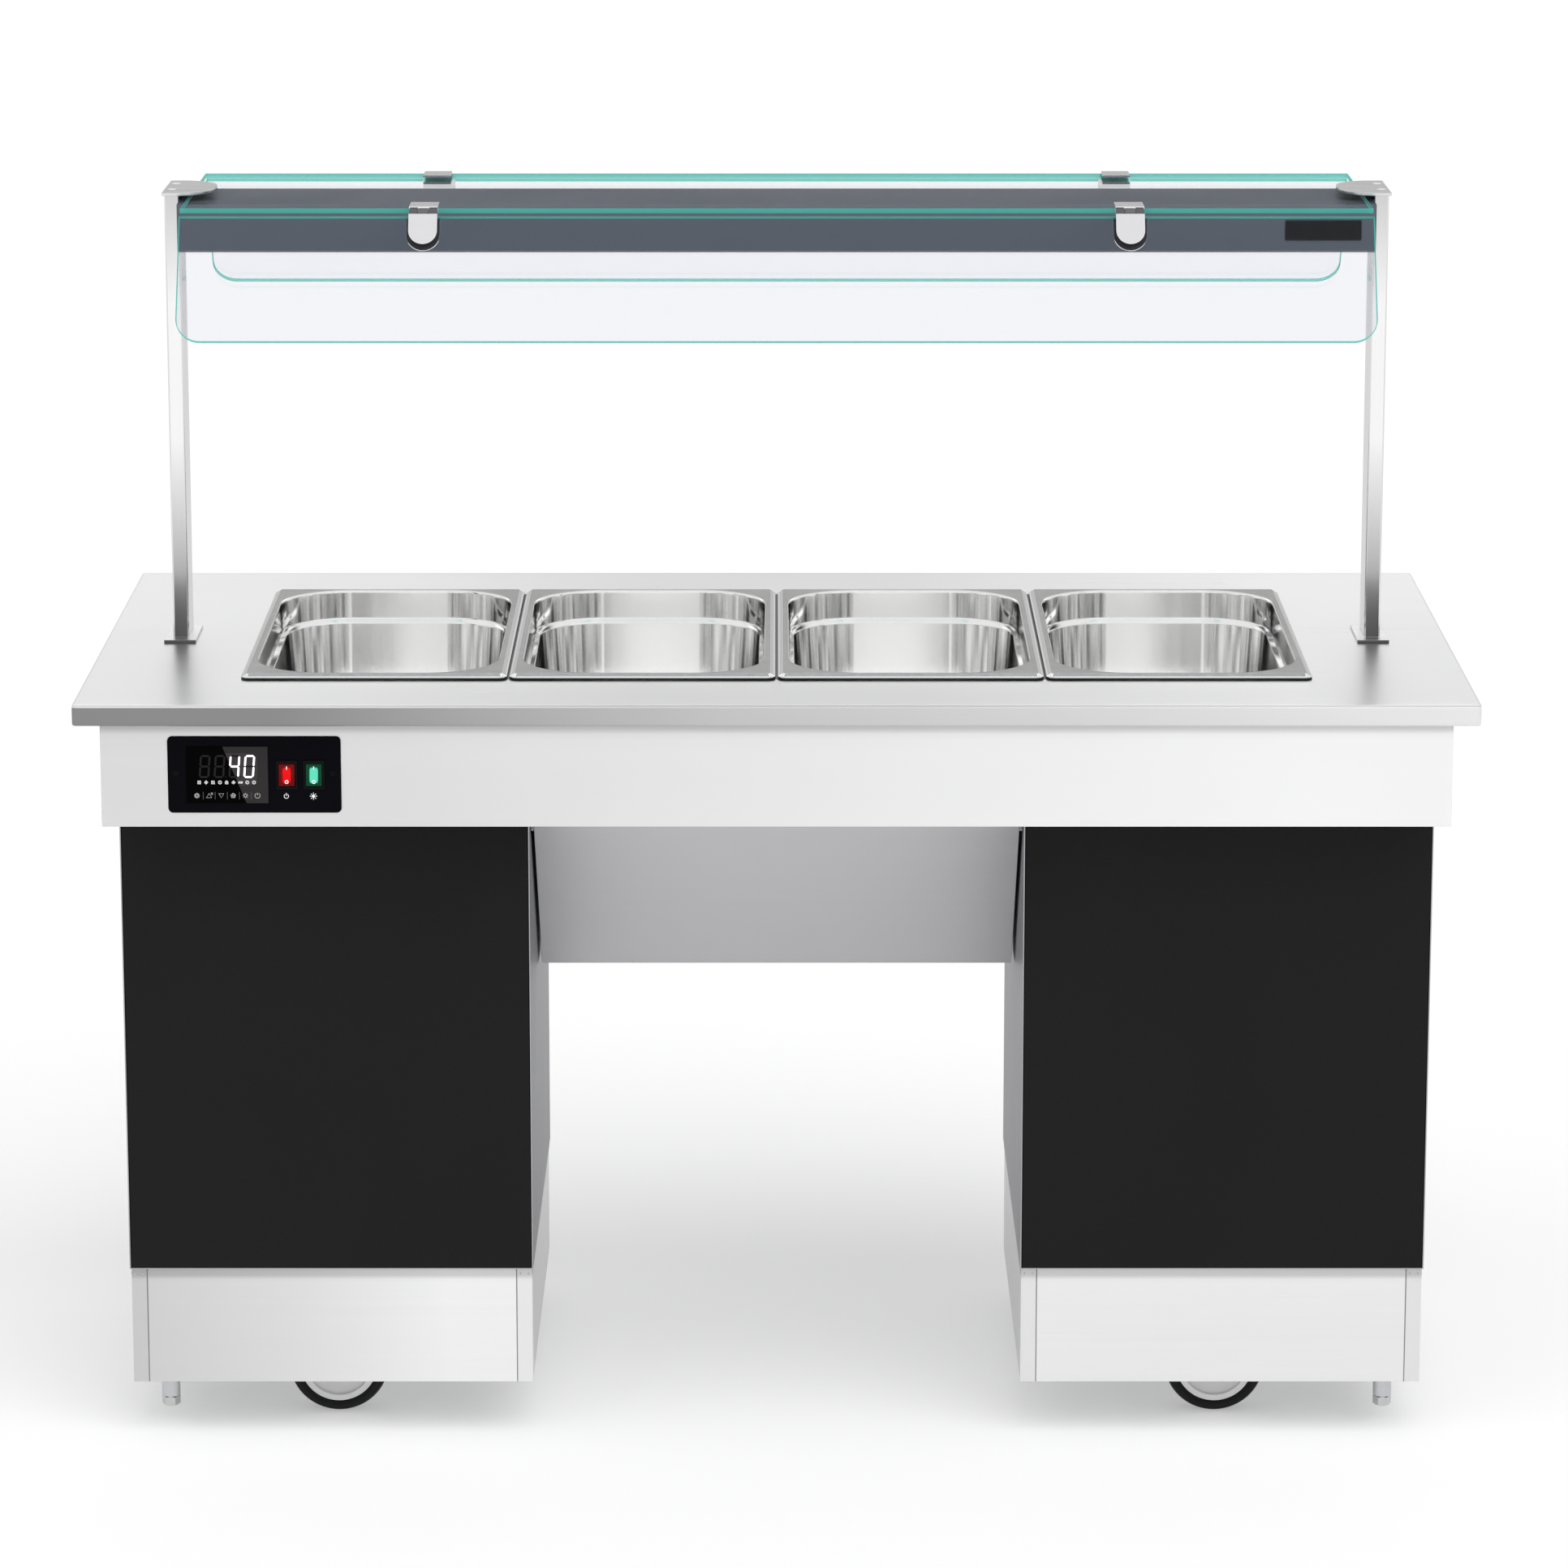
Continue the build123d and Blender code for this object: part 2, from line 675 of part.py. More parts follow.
def caster_plate(x, y):
    """Mounting plate with its bearing race, and the kingpin and nut that hold the fork."""
    half = CASTER_PLATE_LENGTH / 2
    rise = CASTER_PLATE_WIDTH / 2
    plate = slab((-half, half), (-rise, rise), (caster_plate_low, base_low))
    plate += Pos(0, 0, race_low) * extrude(Circle(CASTER_RACE / 2), CASTER_RACE_HEIGHT)
    nut_top = crown_low - RUNNING_GAP
    plate += Pos(0, 0, nut_top) * extrude(Circle(KINGPIN_DIAMETER / 2), race_low - nut_top)
    nut = extrude(RegularPolygon(KINGPIN_NUT / 2, 6, major_radius=False), KINGPIN_NUT_HEIGHT)
    return Pos(x, y, 0) * (plate + Pos(0, 0, nut_top - KINGPIN_NUT_HEIGHT) * nut)


def caster_fork(x, y, side):
    """Swivel fork with two tapering legs and the axle bolt between them."""
    half = FORK_CROWN_LENGTH / 2
    eye = FORK_EYE / 2
    crown_top = crown_low + FORK_CROWN
    leg_line = Polyline(
        (-half, crown_top),
        (half, crown_top),
        (half, crown_low),
        (CASTER_TRAIL + eye, wheel_radius),
        (CASTER_TRAIL + eye / 2, wheel_radius - eye),
        (CASTER_TRAIL - eye / 2, wheel_radius - eye),
        (CASTER_TRAIL - eye, wheel_radius),
        (-half, crown_low),
        close=True,
    )
    near = WHEEL_WIDTH / 2 + FORK_SIDE_GAP
    far = near + FORK_THICKNESS
    leg = along_y(make_face(leg_line), near, far)
    leg = leg if side > 0 else flip_x(leg)
    fork = leg + flip_y(leg) + slab((-half, half), (-near, near), (crown_low, crown_top))
    fork -= Pos(0, 0, crown_low) * extrude(Circle(KINGPIN_DIAMETER / 2 + FIT), FORK_CROWN)
    fork += wheel_place(0, 0, side) * Cylinder(AXLE_DIAMETER / 2, 2 * near)
    head = extrude(RegularPolygon(AXLE_HEAD / 2, 6, major_radius=False), AXLE_HEAD_HEIGHT)
    for start in (far, -far - AXLE_HEAD_HEIGHT):
        fork += wheel_place(0, 0, side) * Pos(0, 0, start) * head
    return Pos(x, y, 0) * fork


def wheel_place(x, y, side):
    """Middle of a wheel, with its axle along Y."""
    return Pos(x + side * CASTER_TRAIL, y, wheel_radius) * Rot(90, 0, 0)


def caster_wheel(x, y, side):
    """Wheel with its tyre moulded on and a bore for the axle."""
    wheel = Cylinder(wheel_radius, WHEEL_WIDTH) - Cylinder(AXLE_DIAMETER / 2 + FIT, WHEEL_WIDTH)
    return wheel_place(x, y, side) * wheel


def guard_post():
    """Right-hand post: a flat tube with a welded foot plate and a plug in its top."""
    low = TOP_HEIGHT + FOOT_PLATE_THICKNESS
    tube = rounded_plate(POST_WIDTH, POST_DEPTH, POST_EDGE, low, post_top)
    bore_width = POST_WIDTH - 2 * POST_WALL
    bore_depth = POST_DEPTH - 2 * POST_WALL
    tube -= rounded_plate(bore_width, bore_depth, 0, low, post_top - POST_PLUG)
    foot = rounded_plate(FOOT_PLATE_WIDTH, FOOT_PLATE_LENGTH, 0, TOP_HEIGHT, low)
    return Pos(post_x, 0, 0) * (tube + foot)


def top_plate():
    """Right-hand plate over the post and the end of the top glass, rounded at its inner end."""
    outline = Rectangle(TOP_PLATE_REACH, TOP_PLATE_LENGTH)
    outline = fillet(outline.vertices().group_by(Axis.X)[0], TOP_PLATE_CORNER)
    outer = post_x + POST_WIDTH / 2
    return Pos(outer - TOP_PLATE_REACH / 2, 0, post_top) * extrude(outline, TOP_PLATE_THICKNESS)


def lamp_housing():
    """Lamp channel between the posts, open below inside two narrow lips."""
    section = Rectangle(LAMP_DEPTH, LAMP_HEIGHT)
    section = fillet(section.vertices(), LAMP_EDGE)
    body = along_x(Pos(0, (lamp_low + lamp_top) / 2) * section, -post_inner, post_inner)
    half = post_inner - LAMP_WALL
    side = LAMP_DEPTH / 2 - LAMP_WALL
    body -= slab((-half, half), (-side, side), (lamp_low + LAMP_WALL, lamp_top - LAMP_WALL))
    mouth = side - LAMP_LIP
    return body - slab((LAMP_LIP - half, half - LAMP_LIP), (-mouth, mouth), (lamp_low, lamp_low + LAMP_WALL))


def lamp_diffuser():
    """Opal plate lying on the lips of the lamp channel."""
    half = post_inner - LAMP_WALL - DIFFUSER_PLAY
    side = LAMP_DEPTH / 2 - LAMP_WALL - DIFFUSER_PLAY
    low = lamp_low + LAMP_WALL
    return slab((-half, half), (-side, side), (low, low + DIFFUSER))


def led_boards():
    """Two long light boards under the roof of the lamp channel."""
    half = post_inner - LED_END_GAP
    high = lamp_top - LAMP_WALL
    near = (LED_SPACING - LED_WIDTH) / 2
    board = slab((-half, half), (near, near + LED_WIDTH), (high - LED_THICKNESS, high))
    return [board, flip_y(board)]


def top_glass():
    """Level pane of the guard."""
    return rounded_plate(glass_length, TOP_GLASS_DEPTH, 0, glass_low, glass_top)


def glass_pads():
    """Thin pads under the top glass on the lamp channel, and over it below the top plates."""
    outer = glass_length / 2
    x_span = (outer - GLASS_PAD_SIZE, outer)
    far = LAMP_DEPTH / 2 - LAMP_EDGE
    lower = slab(x_span, (far - GLASS_PAD_SIZE, far), (lamp_top, glass_low))
    upper = slab(x_span, (-GLASS_PAD_SIZE / 2, GLASS_PAD_SIZE / 2), (glass_top, post_top))
    pads = [lower, flip_y(lower), upper]
    return pads + [flip_x(pad) for pad in pads]


def hinge_jaw(width, reach):
    """Outline of a glass hinge's flat jaw, from the web to its far end."""
    return Pos(0, (HINGE_WEB_START + reach) / 2) * Rectangle(width, reach - HINGE_WEB_START)


def round_jaw(width, reach):
    """Outline of a glass hinge's jaw with a half-round end."""
    straight = reach - width / 2
    return hinge_jaw(width, straight) + Pos(0, straight) * Circle(width / 2)


def hinge_leaf(outer_jaw, inner_jaw, knuckle_spans):
    """Glass hinge leaf about its pin: two jaws, the web between them and the knuckles."""
    grip = GLASS / 2 + HINGE_GRIP
    half = grip + HINGE_JAW
    leaf = Pos(0, 0, grip) * extrude(outer_jaw, HINGE_JAW)
    leaf += Pos(0, 0, -half) * extrude(inner_jaw, HINGE_JAW)
    web_y = (HINGE_WEB_START, HINGE_WEB_START + HINGE_WEB)
    leaf += slab((-HINGE_WIDTH / 2, HINGE_WIDTH / 2), web_y, (-half, half))
    knuckle = HINGE_KNUCKLE / 2
    for span in knuckle_spans:
        leaf += slab(span, (-knuckle, HINGE_WEB_START), (-knuckle, knuckle))
    return leaf


def fixed_leaves():
    """Leaves clamped to the top glass on the control side, each with a bored middle knuckle."""
    middle = HINGE_MIDDLE / 2
    jaw = hinge_jaw(HINGE_WIDTH, HINGE_FIXED_REACH)
    leaf = hinge_leaf(jaw, jaw, [(-middle, middle)])
    leaf -= along_x(Circle(HINGE_PIN / 2 + FIT), -middle, middle)
    return [Pos(x, -pivot_y, pivot_z) * leaf for x in (-HINGE_SPACING / 2, HINGE_SPACING / 2)]


def flap_place(x):
    """Hinge axis of the control side's flap, turned so that Y runs down the pane and Z outwards."""
    return Pos(x, -pivot_y, pivot_z) * Rot(-90 - FLAP_ANGLE, 0, 0) * Rot(0, 180, 0)


def flap_leaves():
    """Half-round leaves clamped to the flap of the control side, each with its hinge pin."""
    start = HINGE_MIDDLE / 2 + PANEL_PLAY
    end = HINGE_WIDTH / 2 - PANEL_PLAY
    outer_jaw = round_jaw(HINGE_WIDTH, HINGE_FLAP_REACH)
    inner_jaw = round_jaw(HINGE_INNER_WIDTH, HINGE_INNER_REACH)
    leaf = hinge_leaf(outer_jaw, inner_jaw, [(start, end), (-end, -start)])
    leaf += along_x(Circle(HINGE_PIN / 2), -start, start)
    return [flap_place(x) * leaf for x in (-HINGE_SPACING / 2, HINGE_SPACING / 2)]


def flap_glass():
    """Sloping pane of the control side, with large lower corners."""
    outline = Pos(0, glass_start + FLAP_LENGTH / 2) * Rectangle(glass_length, FLAP_LENGTH)
    outline = fillet(outline.vertices().group_by(Axis.Y)[-1], FLAP_CORNER)
    return flap_place(0) * Pos(0, 0, -GLASS / 2) * extrude(outline, GLASS)


def facing(x, length, height, corner, y_low, y_high):
    """Upright plate on the apron at the height of the controls, with round or square corners."""
    outline = RectangleRounded(length, height, corner) if corner else Rectangle(length, height)
    return along_y(Pos(x, fascia_z) * outline, y_low, y_high)


def control_fascia():
    """Plate that carries the display and the switches."""
    plate = facing(fascia_x, FASCIA_LENGTH, FASCIA_HEIGHT, FASCIA_CORNER, fascia_y, -apron_face)
    return plate - control_holes()


def display_module():
    """Controller with its display window in front of the fascia and its case behind."""
    x = fascia_x + DISPLAY_SHIFT
    window = facing(x, DISPLAY_LENGTH, DISPLAY_HEIGHT, 0, fascia_y - DISPLAY_PROUD, fascia_y)
    half = DISPLAY_LENGTH / 2 - DISPLAY_BODY_INSET
    rise = DISPLAY_HEIGHT / 2 - DISPLAY_BODY_INSET
    return window + slab(
        (x - half, x + half),
        (fascia_y, fascia_y + DISPLAY_DEPTH),
        (fascia_z - rise, fascia_z + rise),
    )


def rocker_axis(x):
    """Place of a rocker's turning axis, in the plane of the fascia."""
    return Pos(x, fascia_y, fascia_z)


def switch_housing(x):
    """Switch bezel and case with the pocket of its rocker."""
    half_window = ROCKER_WIDTH / 2 + ROCKER_PLAY
    rise_window = ROCKER_LENGTH / 2 + ROCKER_PLAY
    bezel = facing(x, SWITCH_LENGTH, SWITCH_HEIGHT, 0, fascia_y - SWITCH_PROUD, fascia_y)
    half = SWITCH_BODY_LENGTH / 2
    rise = SWITCH_BODY_HEIGHT / 2
    case = slab((x - half, x + half), (fascia_y, fascia_y + SWITCH_DEPTH), (fascia_z - rise, fascia_z + rise))
    pocket = slab(
        (x - half_window, x + half_window),
        (fascia_y - SWITCH_PROUD, fascia_y + SWITCH_POCKET),
        (fascia_z - rise_window, fascia_z + rise_window),
    )
    return bezel + case - pocket


def rocker(x):
    """Rocker with a shallow valley in its face, pressed in at its upper end."""
    half = ROCKER_LENGTH / 2
    front = -SWITCH_PROUD - ROCKER_VALLEY
    back = ROCKER_THICKNESS - SWITCH_PROUD
    section = Polyline(
        (front, half - PANEL_EDGE),
        (front + ROCKER_VALLEY, 0),
        (front, PANEL_EDGE - half),
        (front + PANEL_EDGE, -half),
        (back - SWITCH_PROUD, -half),
        (back, 0),
        (back - SWITCH_PROUD, half),
        (front + PANEL_EDGE, half),
        close=True,
    )
    cap = along_x(make_face(section), -ROCKER_WIDTH / 2, ROCKER_WIDTH / 2)
    return rocker_axis(x) * Rot(-ROCKER_TILT, 0, 0) * cap


right_panel = pedestal_panel()
right_plinth = plinth_panels()
right_corners = plinth_corners()
front_glass = flap_glass()
front_leaves = flap_leaves()
front_fixed = fixed_leaves()

nodes = {
    "worktop": worktop(),
    "upper_frame": upper_frame(),
    "well_tub": well_tub(),
    "pan_bars": group(pan_bars()),
    "heater_mats": group(heater_mats()),
    "heater_tray": heater_tray(),
    "insulation_board": insulation_board(),
    "temperature_probe": temperature_probe(),
    "front_apron": long_apron() - control_holes(),
    "rear_apron": rear_apron(),
    "left_apron": flip_x(end_apron()),
    "right_apron": end_apron(),
    "cable_gland": cable_gland(),
    "under_cover": under_cover(),
    "left_carcass": flip_x(carcass()),
    "right_carcass": carcass(),
    "front_left_panel": flip_x(right_panel),
    "front_right_panel": right_panel,
    "rear_left_panel": flip_x(flip_y(right_panel)),
    "rear_right_panel": flip_y(right_panel),
    "left_plinth": group([flip_x(panel) for panel in right_plinth]),
    "right_plinth": group(right_plinth),
    "plinth_corners": group(right_corners + [flip_x(angle) for angle in right_corners]),
    "left_base_frame": flip_x(base_frame()),
    "right_base_frame": base_frame(),
    "left_post": flip_x(guard_post()),
    "right_post": guard_post(),
    "post_top_plates": group([top_plate(), flip_x(top_plate())]),
    "lamp_housing": lamp_housing(),
    "lamp_diffuser": lamp_diffuser(),
    "led_boards": group(led_boards()),
    "top_glass": top_glass(),
    "glass_pads": group(glass_pads()),
    "fixed_hinge_leaves": group(front_fixed + [flip_y(leaf) for leaf in front_fixed]),
    "front_flap_glass": front_glass,
    "rear_flap_glass": flip_y(front_glass),
    "front_flap_leaves": group(front_leaves),
    "rear_flap_leaves": group([flip_y(leaf) for leaf in front_leaves]),
    "control_fascia": control_fascia(),
    "display_module": display_module(),
    "switch_housings": group([switch_housing(fascia_x + shift) for shift in SWITCH_SHIFTS]),
    "power_rocker": rocker(fascia_x + SWITCH_SHIFTS[0]),
    "light_rocker": rocker(fascia_x + SWITCH_SHIFTS[1]),
    "caster_plates": group([caster_plate(x, y) for x, y, _ in caster_places().values()]),
}
for number, x in enumerate(pan_places, start=1):
    nodes[f"pan_{number}"] = food_pan(x)
for corner, (x, y) in foot_places().items():
    nodes[f"foot_{corner}"] = levelling_foot(x, y)
for corner, (x, y, side) in caster_places().items():
    nodes[f"caster_fork_{corner}"] = caster_fork(x, y, side)
    nodes[f"caster_wheel_{corner}"] = caster_wheel(x, y, side)

os.makedirs("parts", exist_ok=True)
for name, shape in nodes.items():
    export_step(shape, f"parts/{name}.step")
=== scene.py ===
"""Looks of a hot buffet counter: finishes, fine parts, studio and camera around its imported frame.

Sizes and places are in metres, in the counter's own frame: X to the right seen from the control
side, Y away from it and Z up from the floor.
"""

import json
import logging
from dataclasses import dataclass, field
from enum import Enum
from functools import cache
from math import atan2, copysign, cos, pi, radians, sin, tan, tau
from typing import Iterable, Sequence

import bmesh
import bpy
from mathutils import Matrix, Vector

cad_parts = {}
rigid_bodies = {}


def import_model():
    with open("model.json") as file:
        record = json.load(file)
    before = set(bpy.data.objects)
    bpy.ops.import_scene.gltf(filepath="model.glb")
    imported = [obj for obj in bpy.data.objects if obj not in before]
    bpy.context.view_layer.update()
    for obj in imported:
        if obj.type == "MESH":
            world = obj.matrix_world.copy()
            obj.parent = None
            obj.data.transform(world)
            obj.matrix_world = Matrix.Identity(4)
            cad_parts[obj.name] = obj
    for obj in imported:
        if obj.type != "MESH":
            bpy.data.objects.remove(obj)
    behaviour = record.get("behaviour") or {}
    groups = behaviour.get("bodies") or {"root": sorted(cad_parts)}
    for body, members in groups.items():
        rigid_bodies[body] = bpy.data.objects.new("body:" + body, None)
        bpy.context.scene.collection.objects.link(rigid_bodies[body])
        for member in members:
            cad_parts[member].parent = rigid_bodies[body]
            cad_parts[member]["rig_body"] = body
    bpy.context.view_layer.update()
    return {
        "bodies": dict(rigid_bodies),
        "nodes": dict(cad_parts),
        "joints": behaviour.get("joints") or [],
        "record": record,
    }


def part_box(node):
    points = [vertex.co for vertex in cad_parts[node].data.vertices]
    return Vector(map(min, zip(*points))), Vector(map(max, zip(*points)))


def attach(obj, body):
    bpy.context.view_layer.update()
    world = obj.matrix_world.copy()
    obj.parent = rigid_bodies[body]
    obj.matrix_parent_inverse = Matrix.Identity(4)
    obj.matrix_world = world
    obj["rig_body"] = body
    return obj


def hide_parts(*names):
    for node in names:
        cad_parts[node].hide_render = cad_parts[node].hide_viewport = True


LOG = logging.getLogger("counter")
Colour = tuple[float, float, float]
Spot = tuple[float, float, float]
Flat = tuple[float, float]
Polygon = list[Flat]
Seat = tuple[Vector, Vector]
Socket = bpy.types.NodeSocket
Tree = bpy.types.NodeTree
Mesh = bpy.types.Mesh
Shape = bmesh.types.BMesh
SIDES = ("left", "right")
CORNERS = ("front_left", "front_right", "rear_left", "rear_right")
NOISE_MIDDLE = (0.3, 0.7)
UP = Vector((0, 0, 1))
DOWN = Vector((0, 0, -1))
FACING_FRONT = Matrix.Rotation(radians(90), 4, "X")
FACING_REAR = Matrix.Rotation(radians(180), 4, "Z") @ FACING_FRONT


class Grain(Enum):
    """Stretch of a brushed grain: few waves per metre along it and many across it."""

    ALONG_X = (7.0, 950.0, 950.0)
    ALONG_Y = (950.0, 7.0, 950.0)
    ALONG_Z = (950.0, 950.0, 7.0)
    LEVEL = (7.0, 7.0, 950.0)
    NONE = (420.0, 420.0, 420.0)


class Head(Enum):
    """Shape of a fastener's head."""

    CROSS = "cross recess"
    SOCKET = "hexagon socket"
    HEXAGON = "plain hexagon"


def grey(level: float) -> Colour:
    """Neutral colour of one level."""
    return (level, level, level)


def shade(colour: Colour, factor: float = 1.0) -> tuple[float, float, float, float]:
    """Colour with its brightness multiplied, as a node takes it."""
    return (*(min(1.0, channel * factor) for channel in colour), 1.0)


class NodeSheet:
    """Short hand for filling a node tree."""

    def __init__(self, tree: Tree) -> None:
        """Keeps the tree that the sheet fills."""
        self.tree = tree

    @staticmethod
    def emptied(owner: bpy.types.Material | bpy.types.World) -> Tree:
        """Empties the node tree of a material or a world.

        Args:
            owner: The material or the world.

        Returns:
            Its tree.
        """
        owner.use_nodes = True
        owner.node_tree.nodes.clear()
        return owner.node_tree

    def add(self, kind: str, inputs: dict | None = None, **settings: object) -> bpy.types.Node:
        """Adds one node.

        Args:
            kind: Blender's name of the node type.
            inputs: Values, or sockets to link from, by the input's name or number.
            settings: Properties of the node itself.

        Returns:
            The new node.
        """
        node = self.tree.nodes.new(kind)
        for key, value in settings.items():
            setattr(node, key, value)
        for key, value in (inputs or {}).items():
            if isinstance(value, Socket):
                self.tree.links.new(value, node.inputs[key])
            else:
                node.inputs[key].default_value = value
        return node

    def made(self, kind: str, inputs: dict | None = None, **settings: object) -> Socket:
        """Adds one node and returns its first output."""
        return self.add(kind, inputs, **settings).outputs[0]

    def maths(self, operation: str, first: object, second: object = 0.0) -> Socket:
        """Works out an operation on one or two values and returns the result."""
        return self.made("ShaderNodeMath", {0: first, 1: second}, operation=operation)

    def vector(self, operation: str, first: object, second: object) -> Socket:
        """Works out an operation on two vectors and returns the result."""
        return self.made("ShaderNodeVectorMath", {0: first, 1: second}, operation=operation)

    def split(self, vector: object) -> tuple[Socket, ...]:
        """Returns a vector's X, Y and Z."""
        return tuple(self.add("ShaderNodeSeparateXYZ", {0: vector}).outputs)

    def joined(self, **lengths: object) -> Socket:
        """Returns the vector of some lengths along X, Y and Z."""
        return self.made("ShaderNodeCombineXYZ", lengths)

    def carry(self, value: object, start: tuple, end: tuple, way: str = "LINEAR") -> Socket:
        """Carries a value from one range to another.

        Args:
            value: Value or socket to carry over.
            start: Limits of its range, values or sockets.
            end: Limits of the new range, values or sockets.
            way: Blender's name of the way between the limits.

        Returns:
            The result.
        """
        labels = ("From Min", "From Max", "To Min", "To Max")
        inputs = {"Value": value, **dict(zip(labels, (*start, *end)))}
        return self.made("ShaderNodeMapRange", inputs, interpolation_type=way)

    def spread(self, value: object, low: float, high: float) -> Socket:
        """Spreads the middle of a noise value over a range and returns the result."""
        return self.carry(value, NOISE_MIDDLE, (low, high))

    def ramp(self, value: object, start: tuple, end: tuple) -> Socket:
        """Carries a value smoothly from one range to another and returns the result."""
        return self.carry(value, start, end, "SMOOTHSTEP")

    def fade(self, value: object, limits: Flat, first: object, second: object) -> Socket:
        """Goes from a first level to a second while a value passes two limits, and returns the result."""
        return self.ramp(self.ramp(value, limits, (0.0, 1.0)), (0, 1), (first, second))

    def noise(self, place: object, scale: object, detail: float, warp: float = 0.0) -> Socket:
        """Adds a soft noise and returns its value."""
        inputs = {"Vector": place, "Scale": scale, "Detail": detail, "Distortion": warp}
        return self.made("ShaderNodeTexNoise", inputs)

    def blend(self, share: object, first: object, second: object, how: str = "MIX") -> Socket:
        """Mixes two colours and returns the result."""
        inputs = {0: share, 6: first, 7: second}
        return self.add("ShaderNodeMix", inputs, data_type="RGBA", blend_type=how).outputs[2]

    def mottled(self, share: object, colour: Colour, swing: float) -> Socket:
        """Swings a colour's brightness by a share and returns the result."""
        return self.blend(share, shade(colour, 1 - swing), shade(colour, 1 + swing))

    def bump(self, height: object, strength: float, distance: float) -> Socket:
        """Raises a surface by a height and returns its normal."""
        inputs = {"Strength": strength, "Distance": distance, "Height": height}
        return self.made("ShaderNodeBump", inputs)

    def principled(self, inputs: dict[str, object]) -> Socket:
        """Adds the main shader and returns it."""
        return self.made("ShaderNodeBsdfPrincipled", inputs)

    def mixed(self, share: object, first: object, second: object) -> Socket:
        """Mixes two shaders and returns the result."""
        return self.made("ShaderNodeMixShader", {0: share, 1: first, 2: second})


class SurfaceSheet(NodeSheet):
    """Sheet of a finish's material, with the object coordinates at hand."""

    def __init__(self, material: bpy.types.Material) -> None:
        """Empties the material's tree and adds the coordinates."""
        super().__init__(self.emptied(material))
        self.place = self.add("ShaderNodeTexCoord").outputs["Object"]

    def effect(self, tree: Tree, **inputs: object) -> bpy.types.Node:
        """Places a shared effect, on the object coordinates where no others are given."""
        return self.add("ShaderNodeGroup", {"Vector": self.place, **inputs}, node_tree=tree)


class Effects:
    """Shader node groups that several finishes share, each made on first use."""

    @staticmethod
    def _group(name: str, inputs: dict[str, str], outputs: Sequence[str]) -> tuple:
        """Starts a group with its sockets.

        Args:
            name: Name of the group.
            inputs: Kinds of its inputs by their names.
            outputs: Names of the value outputs.

        Returns:
            The group's sheet and the sockets of its inputs.
        """
        tree = bpy.data.node_groups.new(name, "ShaderNodeTree")
        for label, kind in inputs.items():
            tree.interface.new_socket(name=label, in_out="INPUT", socket_type=f"NodeSocket{kind}")
        for label in outputs:
            tree.interface.new_socket(name=label, in_out="OUTPUT", socket_type="NodeSocketFloat")
        sheet = NodeSheet(tree)
        return sheet, sheet.add("NodeGroupInput").outputs[:len(inputs)]

    @staticmethod
    @cache
    def brushed() -> Tree:
        """Makes fine parallel scratches.

        Returns:
            A group that gives a streak value and a height.
        """
        sockets = {"Vector": "Vector", "Stretch": "Vector"}
        sheet, (place, stretch) = Effects._group("brushed_grain", sockets, ("Streak", "Height"))
        pulled = sheet.vector("MULTIPLY", place, stretch)
        fine = sheet.noise(pulled, 1.0, 3.0)
        broad = sheet.noise(pulled, 0.11, 2.0)
        streak = sheet.maths("MULTIPLY", sheet.maths("ADD", fine, broad), 0.5)
        sheet.add("NodeGroupOutput", {"Streak": streak, "Height": fine})
        return sheet.tree

    @staticmethod
    @cache
    def smudged() -> Tree:
        """Makes soft patches from wiping and handling.

        Returns:
            A group that gives a mask.
        """
        sockets = {"Vector": "Vector", "Size": "Float"}
        sheet, (place, size) = Effects._group("wiped_patches", sockets, ("Mask",))
        patches = sheet.noise(place, sheet.maths("DIVIDE", 1.0, size), 4.0, 0.6)
        sheet.add("NodeGroupOutput", {"Mask": sheet.spread(patches, 0.0, 1.0)})
        return sheet.tree

    @staticmethod
    @cache
    def pebbled() -> Tree:
        """Makes the fine pebbles of powder coat, laminate and moulded plastic.

        Returns:
            A group that gives a tone and a height.
        """
        sockets = {"Vector": "Vector", "Size": "Float"}
        sheet, (place, size) = Effects._group("pebbled_skin", sockets, ("Tone", "Height"))
        scale = sheet.maths("DIVIDE", 1.0, size)
        cells = sheet.add("ShaderNodeTexVoronoi", {"Vector": place, "Scale": scale})
        height = sheet.maths("SUBTRACT", 1.0, cells.outputs["Distance"])
        sheet.add("NodeGroupOutput", {"Tone": sheet.noise(place, scale, 2.0), "Height": height})
        return sheet.tree

    @staticmethod
    @cache
    def framed() -> Tree:
        """Makes an upright rectangle with soft edges and corners, along X and Z.

        Returns:
            A group that gives a mask.
        """
        sockets = {"Vector": "Vector", "Centre": "Vector", "Half": "Vector", "Soft": "Float"}
        sheet, (place, centre, half, soft) = Effects._group("framed_field", sockets, ("Mask",))
        aside, _, above = sheet.split(sheet.vector("DIVIDE", sheet.vector("SUBTRACT", place, centre), half))
        limits = tuple(sheet.maths(sign, 1.0, soft) for sign in ("SUBTRACT", "ADD"))
        square = 6.0
        powers = (sheet.maths("POWER", sheet.maths("ABSOLUTE", side), square) for side in (aside, above))
        far = sheet.maths("POWER", sheet.maths("ADD", *powers), 1 / square)
        sheet.add("NodeGroupOutput", {"Mask": sheet.ramp(far, limits, (1.0, 0.0))})
        return sheet.tree


